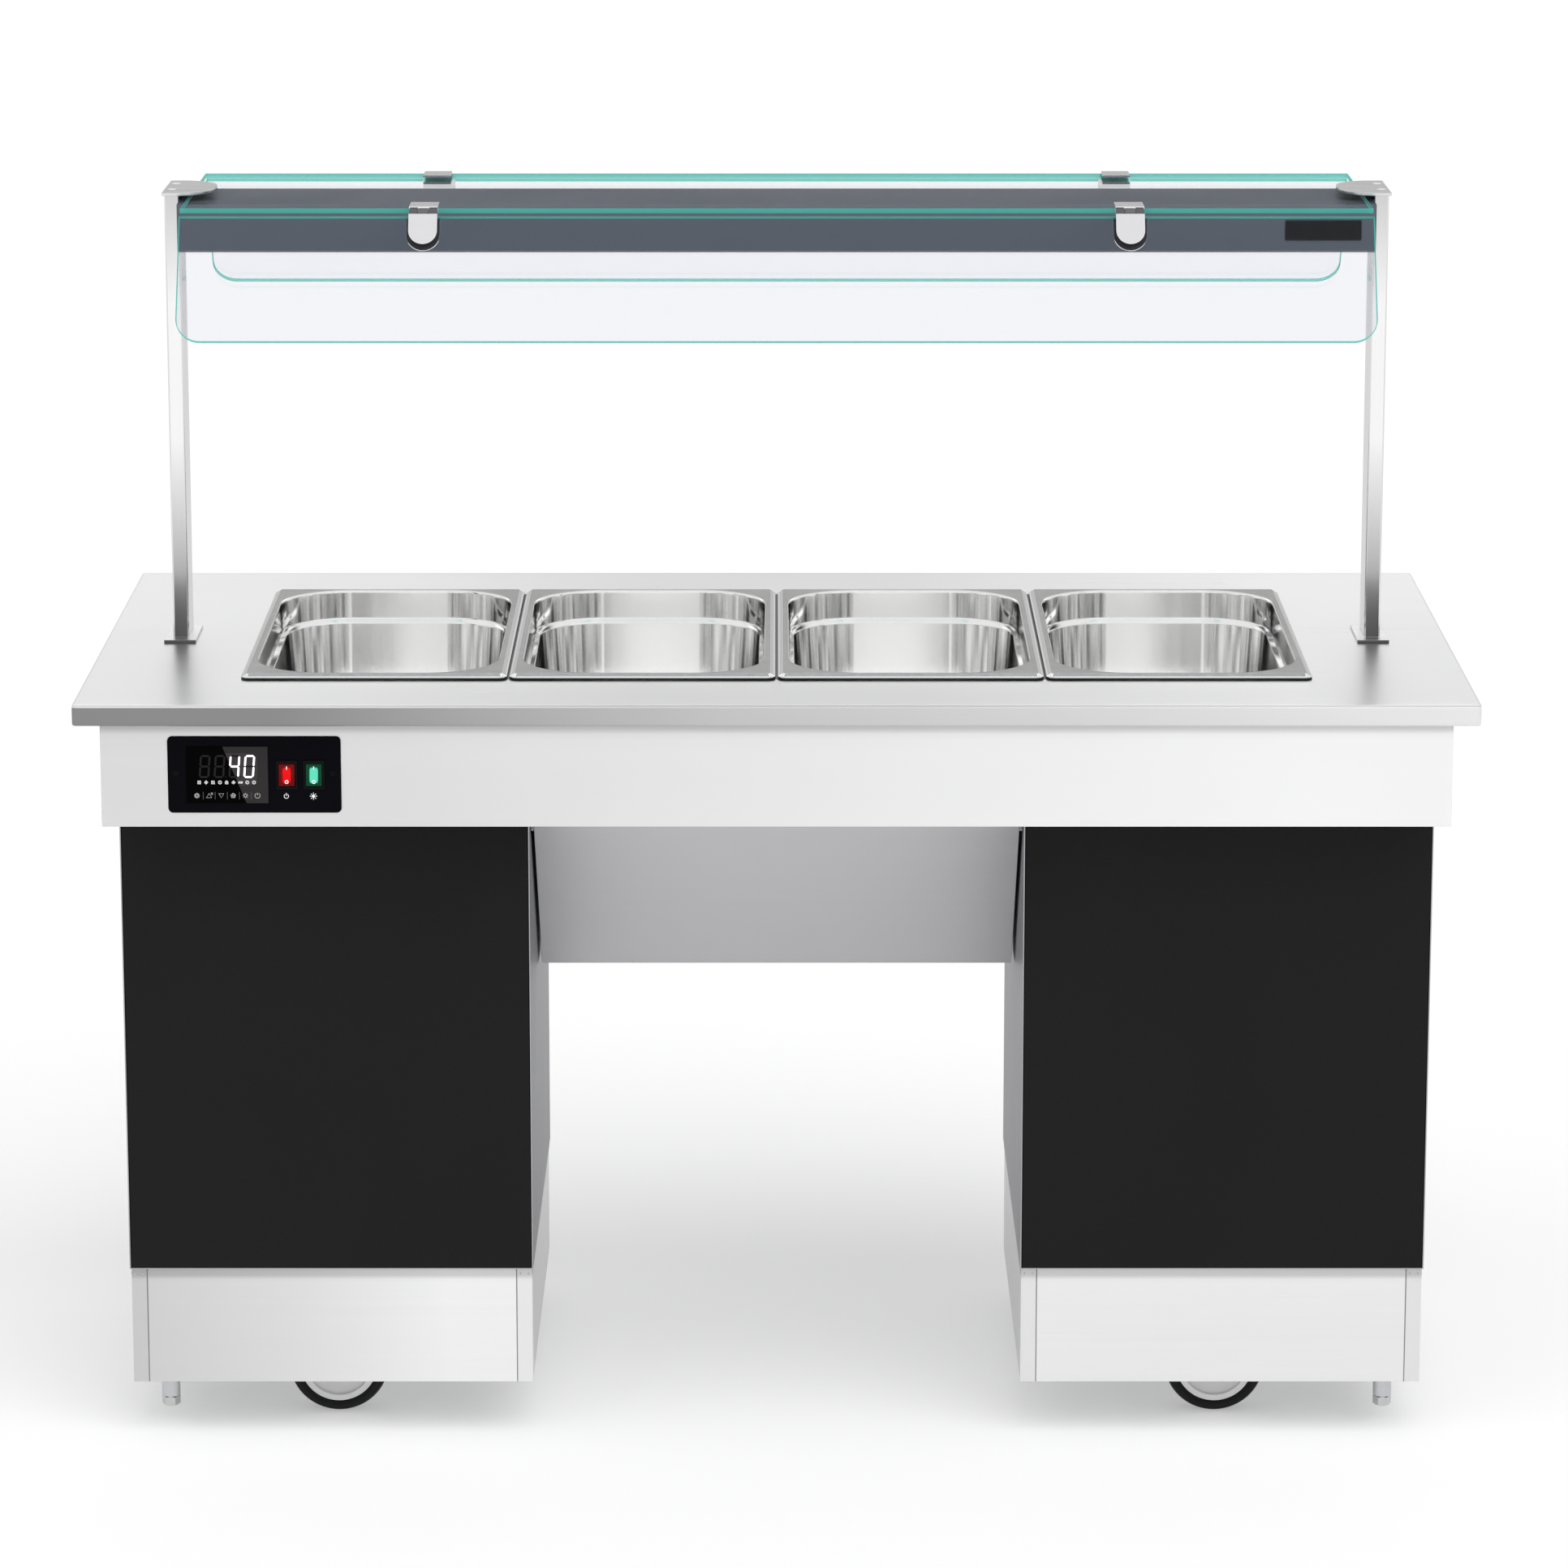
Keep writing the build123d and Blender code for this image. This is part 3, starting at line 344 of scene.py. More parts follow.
@dataclass(frozen=True)
class Finish:
    """A surface finish that makes its material once.

    Attributes:
        name: Name of the material.
        colour: Main colour, linear.
        roughness: Middle roughness.
    """

    name: str
    colour: Colour
    roughness: float = 0.4

    def material(self) -> bpy.types.Material:
        """Makes the finish's material on first use.

        Returns:
            The material.
        """
        label = f"finish_{self.name}"
        found = bpy.data.materials.get(label)
        if found:
            return found
        made = bpy.data.materials.new(label)
        sheet = SurfaceSheet(made)
        sheet.add("ShaderNodeOutputMaterial", {"Surface": self._surface(sheet)})
        return made

    def _surface(self, sheet: SurfaceSheet) -> Socket:
        """Builds the shader.

        Args:
            sheet: Sheet of the material.

        Returns:
            The shader.
        """
        raise NotImplementedError


@dataclass(frozen=True)
class Sheen:
    """Painted light and shade: a slow change of a metal's brightness along one axis.

    Attributes:
        axis: Number of the axis.
        span: Where the change starts and ends on the axis.
        stops: Places from 0 to 1 along the span, with their factors.
    """

    axis: int
    span: Flat
    stops: tuple[Flat, ...]

    def factor(self, sheet: SurfaceSheet) -> Socket:
        """Adds the change to a material.

        Args:
            sheet: Sheet of the material.

        Returns:
            The factor as a grey.
        """
        share = sheet.carry(sheet.split(sheet.place)[self.axis], self.span, (0.0, 1.0))
        node = sheet.add("ShaderNodeValToRGB", {0: share})
        marks = node.color_ramp.elements
        while len(marks) < len(self.stops):
            marks.new(0.5)
        for mark, (position, level) in zip(marks, self.stops):
            mark.position = position
            mark.color = shade(grey(level))
        return node.outputs[0]


@dataclass(frozen=True)
class MetalFinish(Finish):
    """Bare or plated metal with a grain.

    Attributes:
        grain: Direction of the brushing.
        swing: How much the grain changes the roughness.
        depth: Strength of the grain's bump.
        patches: How much wiped patches change the roughness.
        tone_swing: How much the grain changes the colour.
        edge: Brightness of the reflection at a glancing angle.
        sheens: Painted light and shade, as slow changes of brightness.
    """

    grain: Grain = Grain.ALONG_X
    swing: float = 0.06
    depth: float = 0.04
    patches: float = 0.04
    tone_swing: float = 0.05
    edge: float = 1.0
    sheens: tuple[Sheen, ...] = ()

    def _surface(self, sheet: SurfaceSheet) -> Socket:
        """Builds a metal whose grain changes colour, roughness and normal.

        Args:
            sheet: Sheet of the material.

        Returns:
            The shader.
        """
        grain = sheet.effect(Effects.brushed(), Stretch=self.grain.value)
        patch = sheet.effect(Effects.smudged(), Size=0.22)
        streak = grain.outputs["Streak"]
        rough = sheet.spread(streak, self.roughness - self.swing, self.roughness + self.swing)
        rough = sheet.maths("ADD", rough, sheet.maths("MULTIPLY", patch.outputs[0], self.patches))
        tone = sheet.mottled(streak, self.colour, self.tone_swing)
        # The sheens multiply painted light and shade into the colour.
        for sheen in self.sheens:
            tone = sheet.blend(1.0, tone, sheen.factor(sheet), "MULTIPLY")
        inputs = {
            "Base Color": tone,
            "Metallic": 1.0,
            "Roughness": rough,
            "Normal": sheet.bump(grain.outputs["Height"], self.depth, distance=0.0004),
            "Specular Tint": shade(grey(self.edge)),
        }
        return sheet.principled(inputs)


@dataclass(frozen=True)
class SkinFinish(Finish):
    """Paint, laminate, plastic or rubber with a pebbled skin.

    Attributes:
        pebble: Size of one pebble.
        depth: Strength of the pebbles' bump.
        tone_swing: How much the tone changes the colour.
        glow: Light given off in the main colour.
        gloss: Specular level, 0.5 for a common plastic.
    """

    pebble: float = 0.0012
    depth: float = 0.12
    tone_swing: float = 0.12
    glow: float = 0.0
    gloss: float = 0.5

    def _surface(self, sheet: SurfaceSheet) -> Socket:
        """Builds a plain skin whose pebbles change colour, roughness and normal.

        Args:
            sheet: Sheet of the material.

        Returns:
            The shader.
        """
        skin = sheet.effect(Effects.pebbled(), Size=self.pebble)
        patch = sheet.effect(Effects.smudged(), Size=0.3)
        low, high = self.roughness - 0.04, self.roughness + 0.06
        inputs = {
            "Base Color": sheet.mottled(skin.outputs["Tone"], self.colour, self.tone_swing),
            "Roughness": sheet.spread(patch.outputs[0], low, high),
            "Normal": sheet.bump(skin.outputs["Height"], self.depth, distance=0.0003),
            "Specular IOR Level": self.gloss,
        }
        if self.glow:
            inputs.update({"Emission Color": shade(self.colour), "Emission Strength": self.glow})
        return sheet.principled(inputs)


@dataclass(frozen=True)
class GlassFinish(Finish):
    """Clear or edge-tinted glass that lets the studio light through.

    Attributes:
        clearness: Share of the light that the glass itself passes on.
        open_share: Share of the surface that passes light straight on.
        shine: Strength of the reflections.
    """

    clearness: float = 1.0
    open_share: float = 0.85
    shine: float = 0.04

    def _surface(self, sheet: SurfaceSheet) -> Socket:
        """Builds thin glass with faint wiping marks, which casts almost no shadow.

        Args:
            sheet: Sheet of the material.

        Returns:
            The shader.
        """
        smear, front_shine = 0.012, 0.04
        patch = sheet.effect(Effects.smudged(), Size=0.12)
        rough = sheet.spread(patch.outputs[0], self.roughness, self.roughness + smear)
        tint = shade(self.colour)
        inputs = {"Base Color": tint, "Roughness": rough, "IOR": 1.05}
        glass = sheet.principled({**inputs, "Transmission Weight": self.clearness})
        through = sheet.made("ShaderNodeBsdfTransparent", {"Color": tint})
        shadow = sheet.add("ShaderNodeLightPath").outputs["Is Shadow Ray"]
        clear = sheet.mixed(sheet.maths("MAXIMUM", shadow, self.open_share), glass, through)
        facing = sheet.add("ShaderNodeLayerWeight", {"Blend": 0.5}).outputs["Facing"]
        edge = sheet.maths("ADD", sheet.maths("POWER", facing, 5.0), front_shine)
        lit = sheet.maths("SUBTRACT", 1.0, shadow)
        share = sheet.maths("MULTIPLY", sheet.maths("MULTIPLY", edge, self.shine), lit)
        mirror = sheet.made("ShaderNodeBsdfGlossy", {"Roughness": rough})
        return sheet.mixed(share, clear, mirror)


@dataclass(frozen=True)
class RockerFinish(Finish):
    """Lit rocker: a bright core that fades into a darker frame.

    Attributes:
        core: Colour of the lit middle.
        centre: Middle of the rocker's face.
        half: Half size of the core along X and Z.
    """

    core: Colour = grey(1.0)
    centre: Spot = (0.0, 0.0, 0.0)
    half: Flat = (0.005, 0.009)

    def _surface(self, sheet: SurfaceSheet) -> Socket:
        """Builds translucent plastic lit from behind in the middle.

        Args:
            sheet: Sheet of the material.

        Returns:
            The shader.
        """
        inputs = {"Centre": self.centre, "Half": (self.half[0], 1.0, self.half[1]), "Soft": 0.14}
        inside = sheet.effect(Effects.framed(), **inputs).outputs[0]
        skin = sheet.effect(Effects.pebbled(), Size=0.0008)
        swing, frame_glow = 0.05, 0.25
        low, high = self.roughness - swing, self.roughness + swing
        inputs = {
            "Base Color": sheet.blend(inside, shade(self.colour), shade(self.core)),
            "Roughness": sheet.spread(skin.outputs["Tone"], low, high),
            "Emission Color": sheet.blend(inside, shade(self.colour, frame_glow), shade(self.core)),
            "Emission Strength": 0.3,
            "Specular IOR Level": 0.12,
        }
        return sheet.principled(inputs)


@dataclass(frozen=True)
class WindowFinish(Finish):
    """Black display window with a painted reflection as a slightly lighter slanting field, and a screen.

    Attributes:
        centre: Middle of the window.
        reflection_tone: Colour of the painted reflection.
        slant: How far the painted reflection's edge leans to the left for each metre of height.
        start: Where the painted reflection begins, right of the middle.
        screen: Middle of the screen from the window's, and its half size, along X and Z.
    """

    centre: Spot = (0.0, 0.0, 0.0)
    reflection_tone: Colour = (0.036, 0.034, 0.034)
    slant: float = 0.405
    start: float = 0.0083
    screen: tuple[float, float, float, float] = (0.0, 0.007, 0.0365, 0.020)

    def _surface(self, sheet: SurfaceSheet) -> Socket:
        """Builds a dark window with a painted reflection, in which the screen shows a little.

        Args:
            sheet: Sheet of the material.

        Returns:
            The shader.
        """
        border, screen_tone, smear = 0.0014, 1.5, 0.05
        local = sheet.vector("SUBTRACT", sheet.place, self.centre)
        aside, _, above = sheet.split(local)
        # Painted reflection: lighter right of a slanting edge, and a little lighter again over the screen.
        lean = sheet.maths("ADD", aside, sheet.maths("MULTIPLY", above, self.slant))
        side = sheet.ramp(lean, (self.start, self.start + border), (0.0, 1.0))
        x, z, half_x, half_z = self.screen
        inputs = {"Centre": (x, 0, z), "Half": (half_x, 1, half_z), "Soft": 0.01}
        inside = sheet.effect(Effects.framed(), Vector=local, **inputs).outputs[0]
        light = sheet.blend(inside, shade(self.reflection_tone), shade(self.reflection_tone, screen_tone))
        patch = sheet.effect(Effects.smudged(), Size=0.05)
        inputs = {
            "Base Color": sheet.blend(side, shade(self.colour), light),
            "Roughness": sheet.spread(patch.outputs[0], self.roughness, self.roughness + smear),
            "Specular IOR Level": 0.02,
        }
        return sheet.principled(inputs)


ALONG_COUNTER = (-0.85, 0.85)
# REAR_LIGHT, ENDS_LIGHT, LIP_LIGHT, APRON_LIGHT and PLINTH_LIGHT are painted reflections: they lighten the
# steel towards the rear and the ends.
REAR_LIGHT = Sheen(1, (-0.41, 0.41), ((0.0, 0.87), (1.0, 1.0)))
ENDS_LIGHT = Sheen(0, ALONG_COUNTER, ((0.0, 1.0), (0.12, 0.97), (0.4, 0.8), (0.6, 0.81), (0.87, 1.0)))
LIP_LIGHT = Sheen(0, ALONG_COUNTER, ((0.0, 0.32), (0.15, 0.33), (0.47, 0.68), (0.7, 0.81), (1.0, 1.0)))
APRON_LIGHT = Sheen(0, ALONG_COUNTER, ((0.0, 0.79), (0.24, 0.81), (0.5, 0.89), (0.87, 1.0)))
# APRON_SHADE is a painted shadow of the worktop's lip on the top of the aprons.
APRON_SHADE = Sheen(2, (0.915, 0.937), ((0.0, 1.0), (0.35, 0.96), (0.65, 0.68), (1.0, 0.6)))
PLINTH_LIGHT = Sheen(0, ALONG_COUNTER, ((0.04, 0.72), (0.15, 0.83), (0.26, 1.0), (0.7, 0.94), (1.0, 0.92)))
# PLINTH_SHADE is a painted shadow of the boards on the top of the plinths and their corner strips.
PLINTH_SHADE = Sheen(2, (0.198, 0.218), ((0.0, 1.0), (0.25, 0.97), (0.5, 0.7), (1.0, 0.62)))
# POST_LIGHT paints the posts dark at their foot plates and light higher up: painted shade and painted
# reflection.
POST_LIGHT = Sheen(
    2, (0.965, 1.535), ((0.0, 0.14), (0.06, 0.21), (0.15, 0.45), (0.45, 0.93), (0.75, 0.93), (1.0, 0.62))
)
TOP_STEEL = MetalFinish(
    "top_steel", grey(0.98), 0.28, Grain.ALONG_X, 0.012, 0.005, 0.012, 0.016, sheens=(REAR_LIGHT, ENDS_LIGHT)
)
# Darker copy of the top's steel for the lip and the underside: painted shade, with LIP_LIGHT's painted
# reflection.
LIP_PAINTED_SHADE = MetalFinish("lip_steel", grey(0.78), 0.3, Grain.ALONG_X, 0.04, 0.01, sheens=(LIP_LIGHT,))
SHEET_LEVEL = MetalFinish("brushed_steel_level", grey(0.70), 0.3, Grain.LEVEL)
# Steel of the bars between the pans, darkened as painted shade for the narrow gaps they sit in.
PAN_BAR_SHADE = MetalFinish("brushed_steel_y", grey(0.30), 0.34, Grain.ALONG_Y, edge=0.4)
SHEET_Z = MetalFinish("brushed_steel_z", (0.42, 0.42, 0.435), 0.36, Grain.ALONG_Z, edge=0.55)
APRON_STEEL = MetalFinish(
    "apron_steel", grey(0.89), 0.42, Grain.LEVEL, tone_swing=0.02, sheens=(APRON_LIGHT, APRON_SHADE)
)
PLINTH_STEEL = MetalFinish(
    "plinth_steel", grey(0.88), 0.34, Grain.LEVEL, edge=0.7, sheens=(PLINTH_LIGHT, PLINTH_SHADE)
)
STRIP_STEEL = MetalFinish(
    "strip_steel", grey(0.82), 0.34, Grain.ALONG_Z, tone_swing=0.03, sheens=(PLINTH_LIGHT, PLINTH_SHADE)
)
COVER_STEEL = MetalFinish("cover_steel", (0.58, 0.58, 0.595), 0.36, Grain.LEVEL, tone_swing=0.06)
POST_STEEL = MetalFinish("post_steel", grey(0.95), 0.13, Grain.ALONG_Z, 0.03, 0.01, sheens=(POST_LIGHT,))
# Darker copy of the posts' steel for their sides: painted shade.
POST_SIDE_SHADE = MetalFinish("post_side_steel", grey(0.72), 0.13, Grain.ALONG_Z, 0.03, 0.01, edge=0.72)
PLATE_STEEL = MetalFinish("plate_steel", (0.93, 0.92, 0.92), 0.28, Grain.ALONG_X, 0.04, 0.01)
# The top plates' steel is a darker copy of the foot plates': painted shade.
CAP_PLATE_SHADE = MetalFinish("cap_plate_steel", grey(0.68), 0.26, Grain.ALONG_X, 0.04, 0.01, edge=0.8)
PAN_STEEL = MetalFinish("pressed_steel", (0.93, 0.93, 0.925), 0.10, Grain.ALONG_Z, 0.02, 0.01, 0.01, 0.01)
# Darker copy of the pans' steel for the flat top of their rims: painted shade.
RIM_SHADE = MetalFinish("rim_steel", (0.45, 0.45, 0.445), 0.16, Grain.NONE, 0.03, 0.01)
CHROME = MetalFinish("polished_chrome", (0.88, 0.88, 0.90), 0.06, Grain.NONE, 0.02, 0.004, 0.02)
# Darker copy of the hinges' chrome for their knuckles: painted shade.
KNUCKLE_SHADE = MetalFinish("dark_chrome", (0.16, 0.16, 0.17), 0.2, Grain.NONE, 0.03, 0.01, edge=0.3)
ZINC = MetalFinish("zinc_plate", (0.56, 0.57, 0.58), 0.38, Grain.NONE, 0.07, 0.05, 0.08, 0.12)
FOOT_STEEL = MetalFinish("bright_steel", grey(0.54), 0.16, Grain.ALONG_Z, 0.04, 0.02)
BRASS = MetalFinish("machined_brass", (0.62, 0.45, 0.2), 0.3, Grain.ALONG_Y)
BOARD_METAL = MetalFinish("board_aluminium", (0.8, 0.8, 0.79), 0.4, Grain.ALONG_X)
BLACK_BOARD = SkinFinish("black_laminate", (0.0105, 0.0105, 0.0108), 0.46, 0.0016, 0.18, 0.2, gloss=0.1)
SLATE = SkinFinish("slate_powder_coat", (0.106, 0.122, 0.147), 0.42, 0.0011, 0.1, 0.06, gloss=0.2)
# Darker copy of the slate coat for the lamp channel's top: painted shade.
SLATE_TOP_SHADE = SkinFinish("slate_top", (0.079, 0.092, 0.112), 0.5, 0.0011, 0.1, 0.06, gloss=0.02)
BLACK_PLASTIC = SkinFinish("black_plastic", (0.0050, 0.0052, 0.0058), 0.36, 0.0009, 0.1, 0.2, gloss=0.05)
FASCIA_BLACK = SkinFinish("fascia_black", (0.0024, 0.0025, 0.0042), 0.4, 0.0009, 0.06, 0.1, gloss=0.03)
BADGE_BLACK = SkinFinish("badge_black", (0.010, 0.010, 0.011), 0.3, 0.0008, 0.05, 0.1, gloss=0.2)
OPAL = SkinFinish("opal_plastic", (0.93, 0.93, 0.9), 0.35, 0.002, 0.03, 0.02, 0.55)
TYRE = SkinFinish("tyre_rubber", (0.010, 0.010, 0.011), 0.62, 0.0007, 0.2, 0.2, gloss=0.2)
WHEEL_CORE = SkinFinish("wheel_plastic", grey(0.82), 0.42, 0.001, 0.08, 0.03)
WHEEL_RING = SkinFinish("wheel_ring", grey(0.92), 0.38, 0.001, 0.06, 0.03)
# Black rubber of pads, seals and linings, also drawn at the foot of the pans' rims as a painted shadow.
PAD_RUBBER_AND_SHADOW = SkinFinish("pad_rubber", (0.03, 0.03, 0.032), 0.6, 0.0008, 0.1, 0.1)
HEATER = SkinFinish("silicone_mat", (0.4, 0.09, 0.03), 0.6, 0.0015, 0.25, 0.1)
WOOL = SkinFinish("mineral_wool", (0.45, 0.4, 0.24), 0.95, 0.004, 0.8, 0.35)
CAP_WHITE = SkinFinish("white_cap", grey(0.9), 0.35, 0.001, 0.03, 0.02)
# The white and grey print give off a faint glow: painted light.
INK_WHITE = SkinFinish("white_print", (0.82, 0.82, 0.84), 0.5, 0.0005, 0.02, 0.02, 0.25)
INK_GREY = SkinFinish("grey_print", (0.46, 0.46, 0.47), 0.5, 0.0005, 0.02, 0.02, 0.2)
INK_DIM = SkinFinish("dim_print", (0.10, 0.10, 0.105), 0.5, 0.0005, 0.02, 0.02)
DIGIT_LIT = SkinFinish("lit_segment", grey(1.0), 0.4, 0.0005, 0.02, 0.01, 0.9)
DIGIT_DIM = SkinFinish("dark_segment", (0.020, 0.020, 0.021), 0.5, 0.0005, 0.02, 0.05, gloss=0.02)
# Dark lines in the joints beside the plinths' corner strips: painted shade.
JOINT_SHADE = SkinFinish("dark_joint", (0.26, 0.26, 0.265), 0.6, 0.0008, 0.05, 0.1, gloss=0.1)
GLASS = GlassFinish("clear_glass", (0.974, 0.976, 0.982), 0.0, open_share=0.94)
# Greyer copy of the clear glass for the front flap: painted shade.
FLAP_GLASS_SHADE = GlassFinish("tinted_glass", (0.932, 0.934, 0.950), 0.0, open_share=0.94)
GLASS_EDGE = GlassFinish("glass_edge", (0.12, 0.62, 0.54), 0.12, 0.35, 0.1)
LED_WHITE = SkinFinish("led_chip", (1.0, 0.96, 0.86), 0.4, 0.001, 0.02, 0.02, 1.5)


@dataclass
class Assembly:
    """One sub-assembly of the counter: where its nodes are, what carries them and how they are shown.

    Attributes:
        packed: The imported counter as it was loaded.
    """

    packed: dict

    def build(self) -> None:
        """Builds and dresses the pieces."""
        raise NotImplementedError

    def box(self, node: str) -> tuple[Vector, Vector]:
        """Lowest and highest corner of a node."""
        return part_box(node)

    def middle(self, node: str) -> Vector:
        """Middle of a node's box."""
        low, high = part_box(node)
        return (low + high) / 2

    def body(self, node: str) -> str:
        """Body that carries a node."""
        return self.packed["nodes"][node]["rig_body"]

    def slot(self, node: str) -> str:
        """Material slot of a node in the record."""
        slots = {row["node"]: row["material_slot"] for row in self.packed["record"]["subparts"]}
        return slots[node]

    def finish_node(self, node: str, finish: Finish) -> None:
        """Gives a node that stays as it is its finish.

        Args:
            node: Node to dress.
            finish: Its finish.
        """
        shown = self.packed["nodes"][node]
        if shown.material_slots:
            shown.material_slots[0].material = finish.material()
        else:
            shown.data.materials.append(finish.material())
        LOG.info("kept %s in %s", node, finish.name)

    def soft_edged(self, node: str, width: float, segments: int = 2) -> Mesh:
        """Copies a node's mesh and rounds its sharp edges.

        Args:
            node: Node to copy.
            width: Width of the rounding.
            segments: Facets across the rounding.

        Returns:
            A merged mesh with rounded edges.
        """
        bm = bmesh.new()
        bm.from_mesh(self.packed["nodes"][node].data)
        bmesh.ops.remove_doubles(bm, verts=bm.verts, dist=1e-6)
        bmesh.ops.dissolve_limit(bm, angle_limit=radians(1), verts=bm.verts, edges=bm.edges)
        return rounded_edges(bm, width, segments)

    def show(self, node: str, mesh: Mesh, *finishes: Finish) -> None:
        """Shows a mesh in place of a node."""
        hand_over(f"{node}_shown", mesh, finishes, self.body(node), self.slot(node), node)

    def replace(self, node: str, finish: Finish, width: float, segments: int = 2) -> None:
        """Shows a soft-edged copy of a node in place of it."""
        self.show(node, self.soft_edged(node, width, segments), finish)


def linked(name: str, data: bpy.types.ID) -> bpy.types.Object:
    """Puts a mesh, a light or a camera into the scene.

    Args:
        name: Name of the object.
        data: What the object shows.

    Returns:
        The new object.
    """
    made = bpy.data.objects.new(name, data)
    bpy.context.scene.collection.objects.link(made)
    return made


def smooth(mesh: Mesh) -> None:
    """Shades every face of a mesh smoothly."""
    mesh.polygons.foreach_set("use_smooth", [True] * len(mesh.polygons))


def settled(carrier: bpy.types.Object) -> Mesh:
    """Turns an object with modifiers into a plain mesh and removes the object.

    Args:
        carrier: Object whose modifiers are used up.

    Returns:
        The finished mesh.
    """
    bpy.context.view_layer.update()
    shape = carrier.evaluated_get(bpy.context.evaluated_depsgraph_get())
    made = bpy.data.meshes.new_from_object(shape)
    old = carrier.data
    carrier.modifiers.clear()
    bpy.data.objects.remove(carrier)
    bpy.data.meshes.remove(old)
    return made


def rounded_edges(bm: Shape, width: float, segments: int = 2) -> Mesh:
    """Rounds the sharp edges of a closed shape.

    Args:
        bm: The shape, which is used up.
        width: Width of the rounding.
        segments: Facets across the rounding.

    Returns:
        A plain mesh with smooth shading and hard flats.
    """
    mesh = bpy.data.meshes.new("rough")
    bm.to_mesh(mesh)
    bm.free()
    smooth(mesh)
    carrier = linked("rough", mesh)
    edge = carrier.modifiers.new("edge", "BEVEL")
    edge.width = width
    edge.segments = segments
    edge.limit_method = "ANGLE"
    edge.angle_limit = radians(32)
    carrier.modifiers.new("flat", "WEIGHTED_NORMAL")
    return settled(carrier)


def plain_mesh(bm: Shape, sharp: float = 40.0) -> Mesh:
    """Turns a shape into a mesh with outward faces and smooth shading up to an angle.

    Args:
        bm: The shape, which is used up.
        sharp: Angle in degrees above which an edge stays hard.

    Returns:
        The finished mesh.
    """
    bmesh.ops.remove_doubles(bm, verts=bm.verts, dist=1e-7)
    bmesh.ops.recalc_face_normals(bm, faces=bm.faces)
    mesh = bpy.data.meshes.new("shape")
    bm.to_mesh(mesh)
    bm.free()
    smooth(mesh)
    mesh.set_sharp_from_angle(angle=radians(sharp))
    carrier = linked("shape", mesh)
    flat = carrier.modifiers.new("flat", "WEIGHTED_NORMAL")
    flat.keep_sharp = True
    return settled(carrier)


def hand_over(name: str, mesh: Mesh, finishes: Sequence[Finish], body: str, slot: str, *nodes: str) -> None:
    """Adds a finished piece to the counter.

    Args:
        name: Name of the piece.
        mesh: Its mesh, in place.
        finishes: Finishes by the mesh's material numbers.
        body: Body that carries it.
        slot: Material slot of the record that it stands for; not used.
        nodes: Nodes that it is shown in place of.
    """
    mesh.name = name
    numbers = [polygon.material_index for polygon in mesh.polygons]
    mesh.materials.clear()
    for finish in finishes:
        mesh.materials.append(finish.material())
    mesh.polygons.foreach_set("material_index", numbers)
    made = linked(name, mesh)
    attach(made, body)
    if nodes:
        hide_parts(*nodes)
    LOG.info("%s: %d faces on %s", name, len(mesh.polygons), body)


def rounded_ring(width: float, length: float, radius: float, level: float, centre: Flat, steps: int) -> list:
    """Points of a level rectangle with round corners, the same number for every radius.

    Args:
        width: Length along X.
        length: Length along Y.
        radius: Radius of the corners.
        level: Height.
        centre: Middle in X and Y.
        steps: Facets of one corner.

    Returns:
        The points, counter-clockwise seen from above.
    """
    ring = []
    for quarter, (to_x, to_y) in enumerate(((1, 1), (-1, 1), (-1, -1), (1, -1))):
        middle_x = centre[0] + to_x * (width / 2 - radius)
        middle_y = centre[1] + to_y * (length / 2 - radius)
        for step in range(steps + 1):
            angle = pi / 2 * (quarter + step / steps)
            x, y = middle_x + radius * cos(angle), middle_y + radius * sin(angle)
            ring.append(Vector((x, y, level)))
    return ring


def bent_path(points: Sequence[tuple[float, float, float]], steps: int = 4) -> list[Flat]:
    """Rounds the bends of a path.

    Args:
        points: Places of the bends, each with its radius.
        steps: Facets of one bend.

    Returns:
        Points of the rounded path.
    """
    path = [points[0][:2]]
    for before, bend, after in zip(points, points[1:], points[2:]):
        corner = Vector(bend[:2])
        back = Vector(before[:2]) - corner
        ahead = Vector(after[:2]) - corner
        turn = back.angle(ahead)
        reach = min(bend[2] / tan(turn / 2), 0.49 * back.length, 0.49 * ahead.length)
        start = corner + back.normalized() * reach
        end = corner + ahead.normalized() * reach
        if bend[2] <= 0:
            path.append(tuple(corner))
            continue
        for step in range(steps + 1):
            share = step / steps
            near = start.lerp(corner, share).lerp(corner.lerp(end, share), share)
            path.append(tuple(near))
    path.append(points[-1][:2])
    return path


def lofted(rings: Sequence[Sequence[Vector]], capped: bool = False, wrapped: bool = False) -> Shape:
    """Joins rings of equally many points into one skin.

    Args:
        rings: The rings in order.
        capped: Closes the first and the last ring.
        wrapped: Joins the last ring to the first.

    Returns:
        The new shape.
    """
    bm = bmesh.new()
    rows = [[bm.verts.new(point) for point in ring] for ring in rings]
    pairs = list(zip(rows, rows[1:]))
    if wrapped:
        pairs.append((rows[-1], rows[0]))
    for lower, upper in pairs:
        for i in range(len(lower)):
            bm.faces.new((lower[i - 1], lower[i], upper[i], upper[i - 1]))
    if capped:
        bm.faces.new(rows[0])
        bm.faces.new(rows[-1])
    return bm


def turned(profile: Sequence[Flat], place: Matrix, segments: int, wrapped: bool = False) -> Shape:
    """Turns a profile of radius and height about its own Z axis.

    Args:
        profile: Radius and height of each point.
        place: Where the axis lies.
        segments: Facets round the axis.
        wrapped: Joins the profile's end to its start, for a ring.

    Returns:
        The new shape.
    """
    rings = []
    for radius, height in profile:
        angles = [tau * step / segments for step in range(segments)]
        rings.append([place @ Vector((radius * cos(a), radius * sin(a), height)) for a in angles])
    return lofted(rings, capped=not wrapped, wrapped=wrapped)


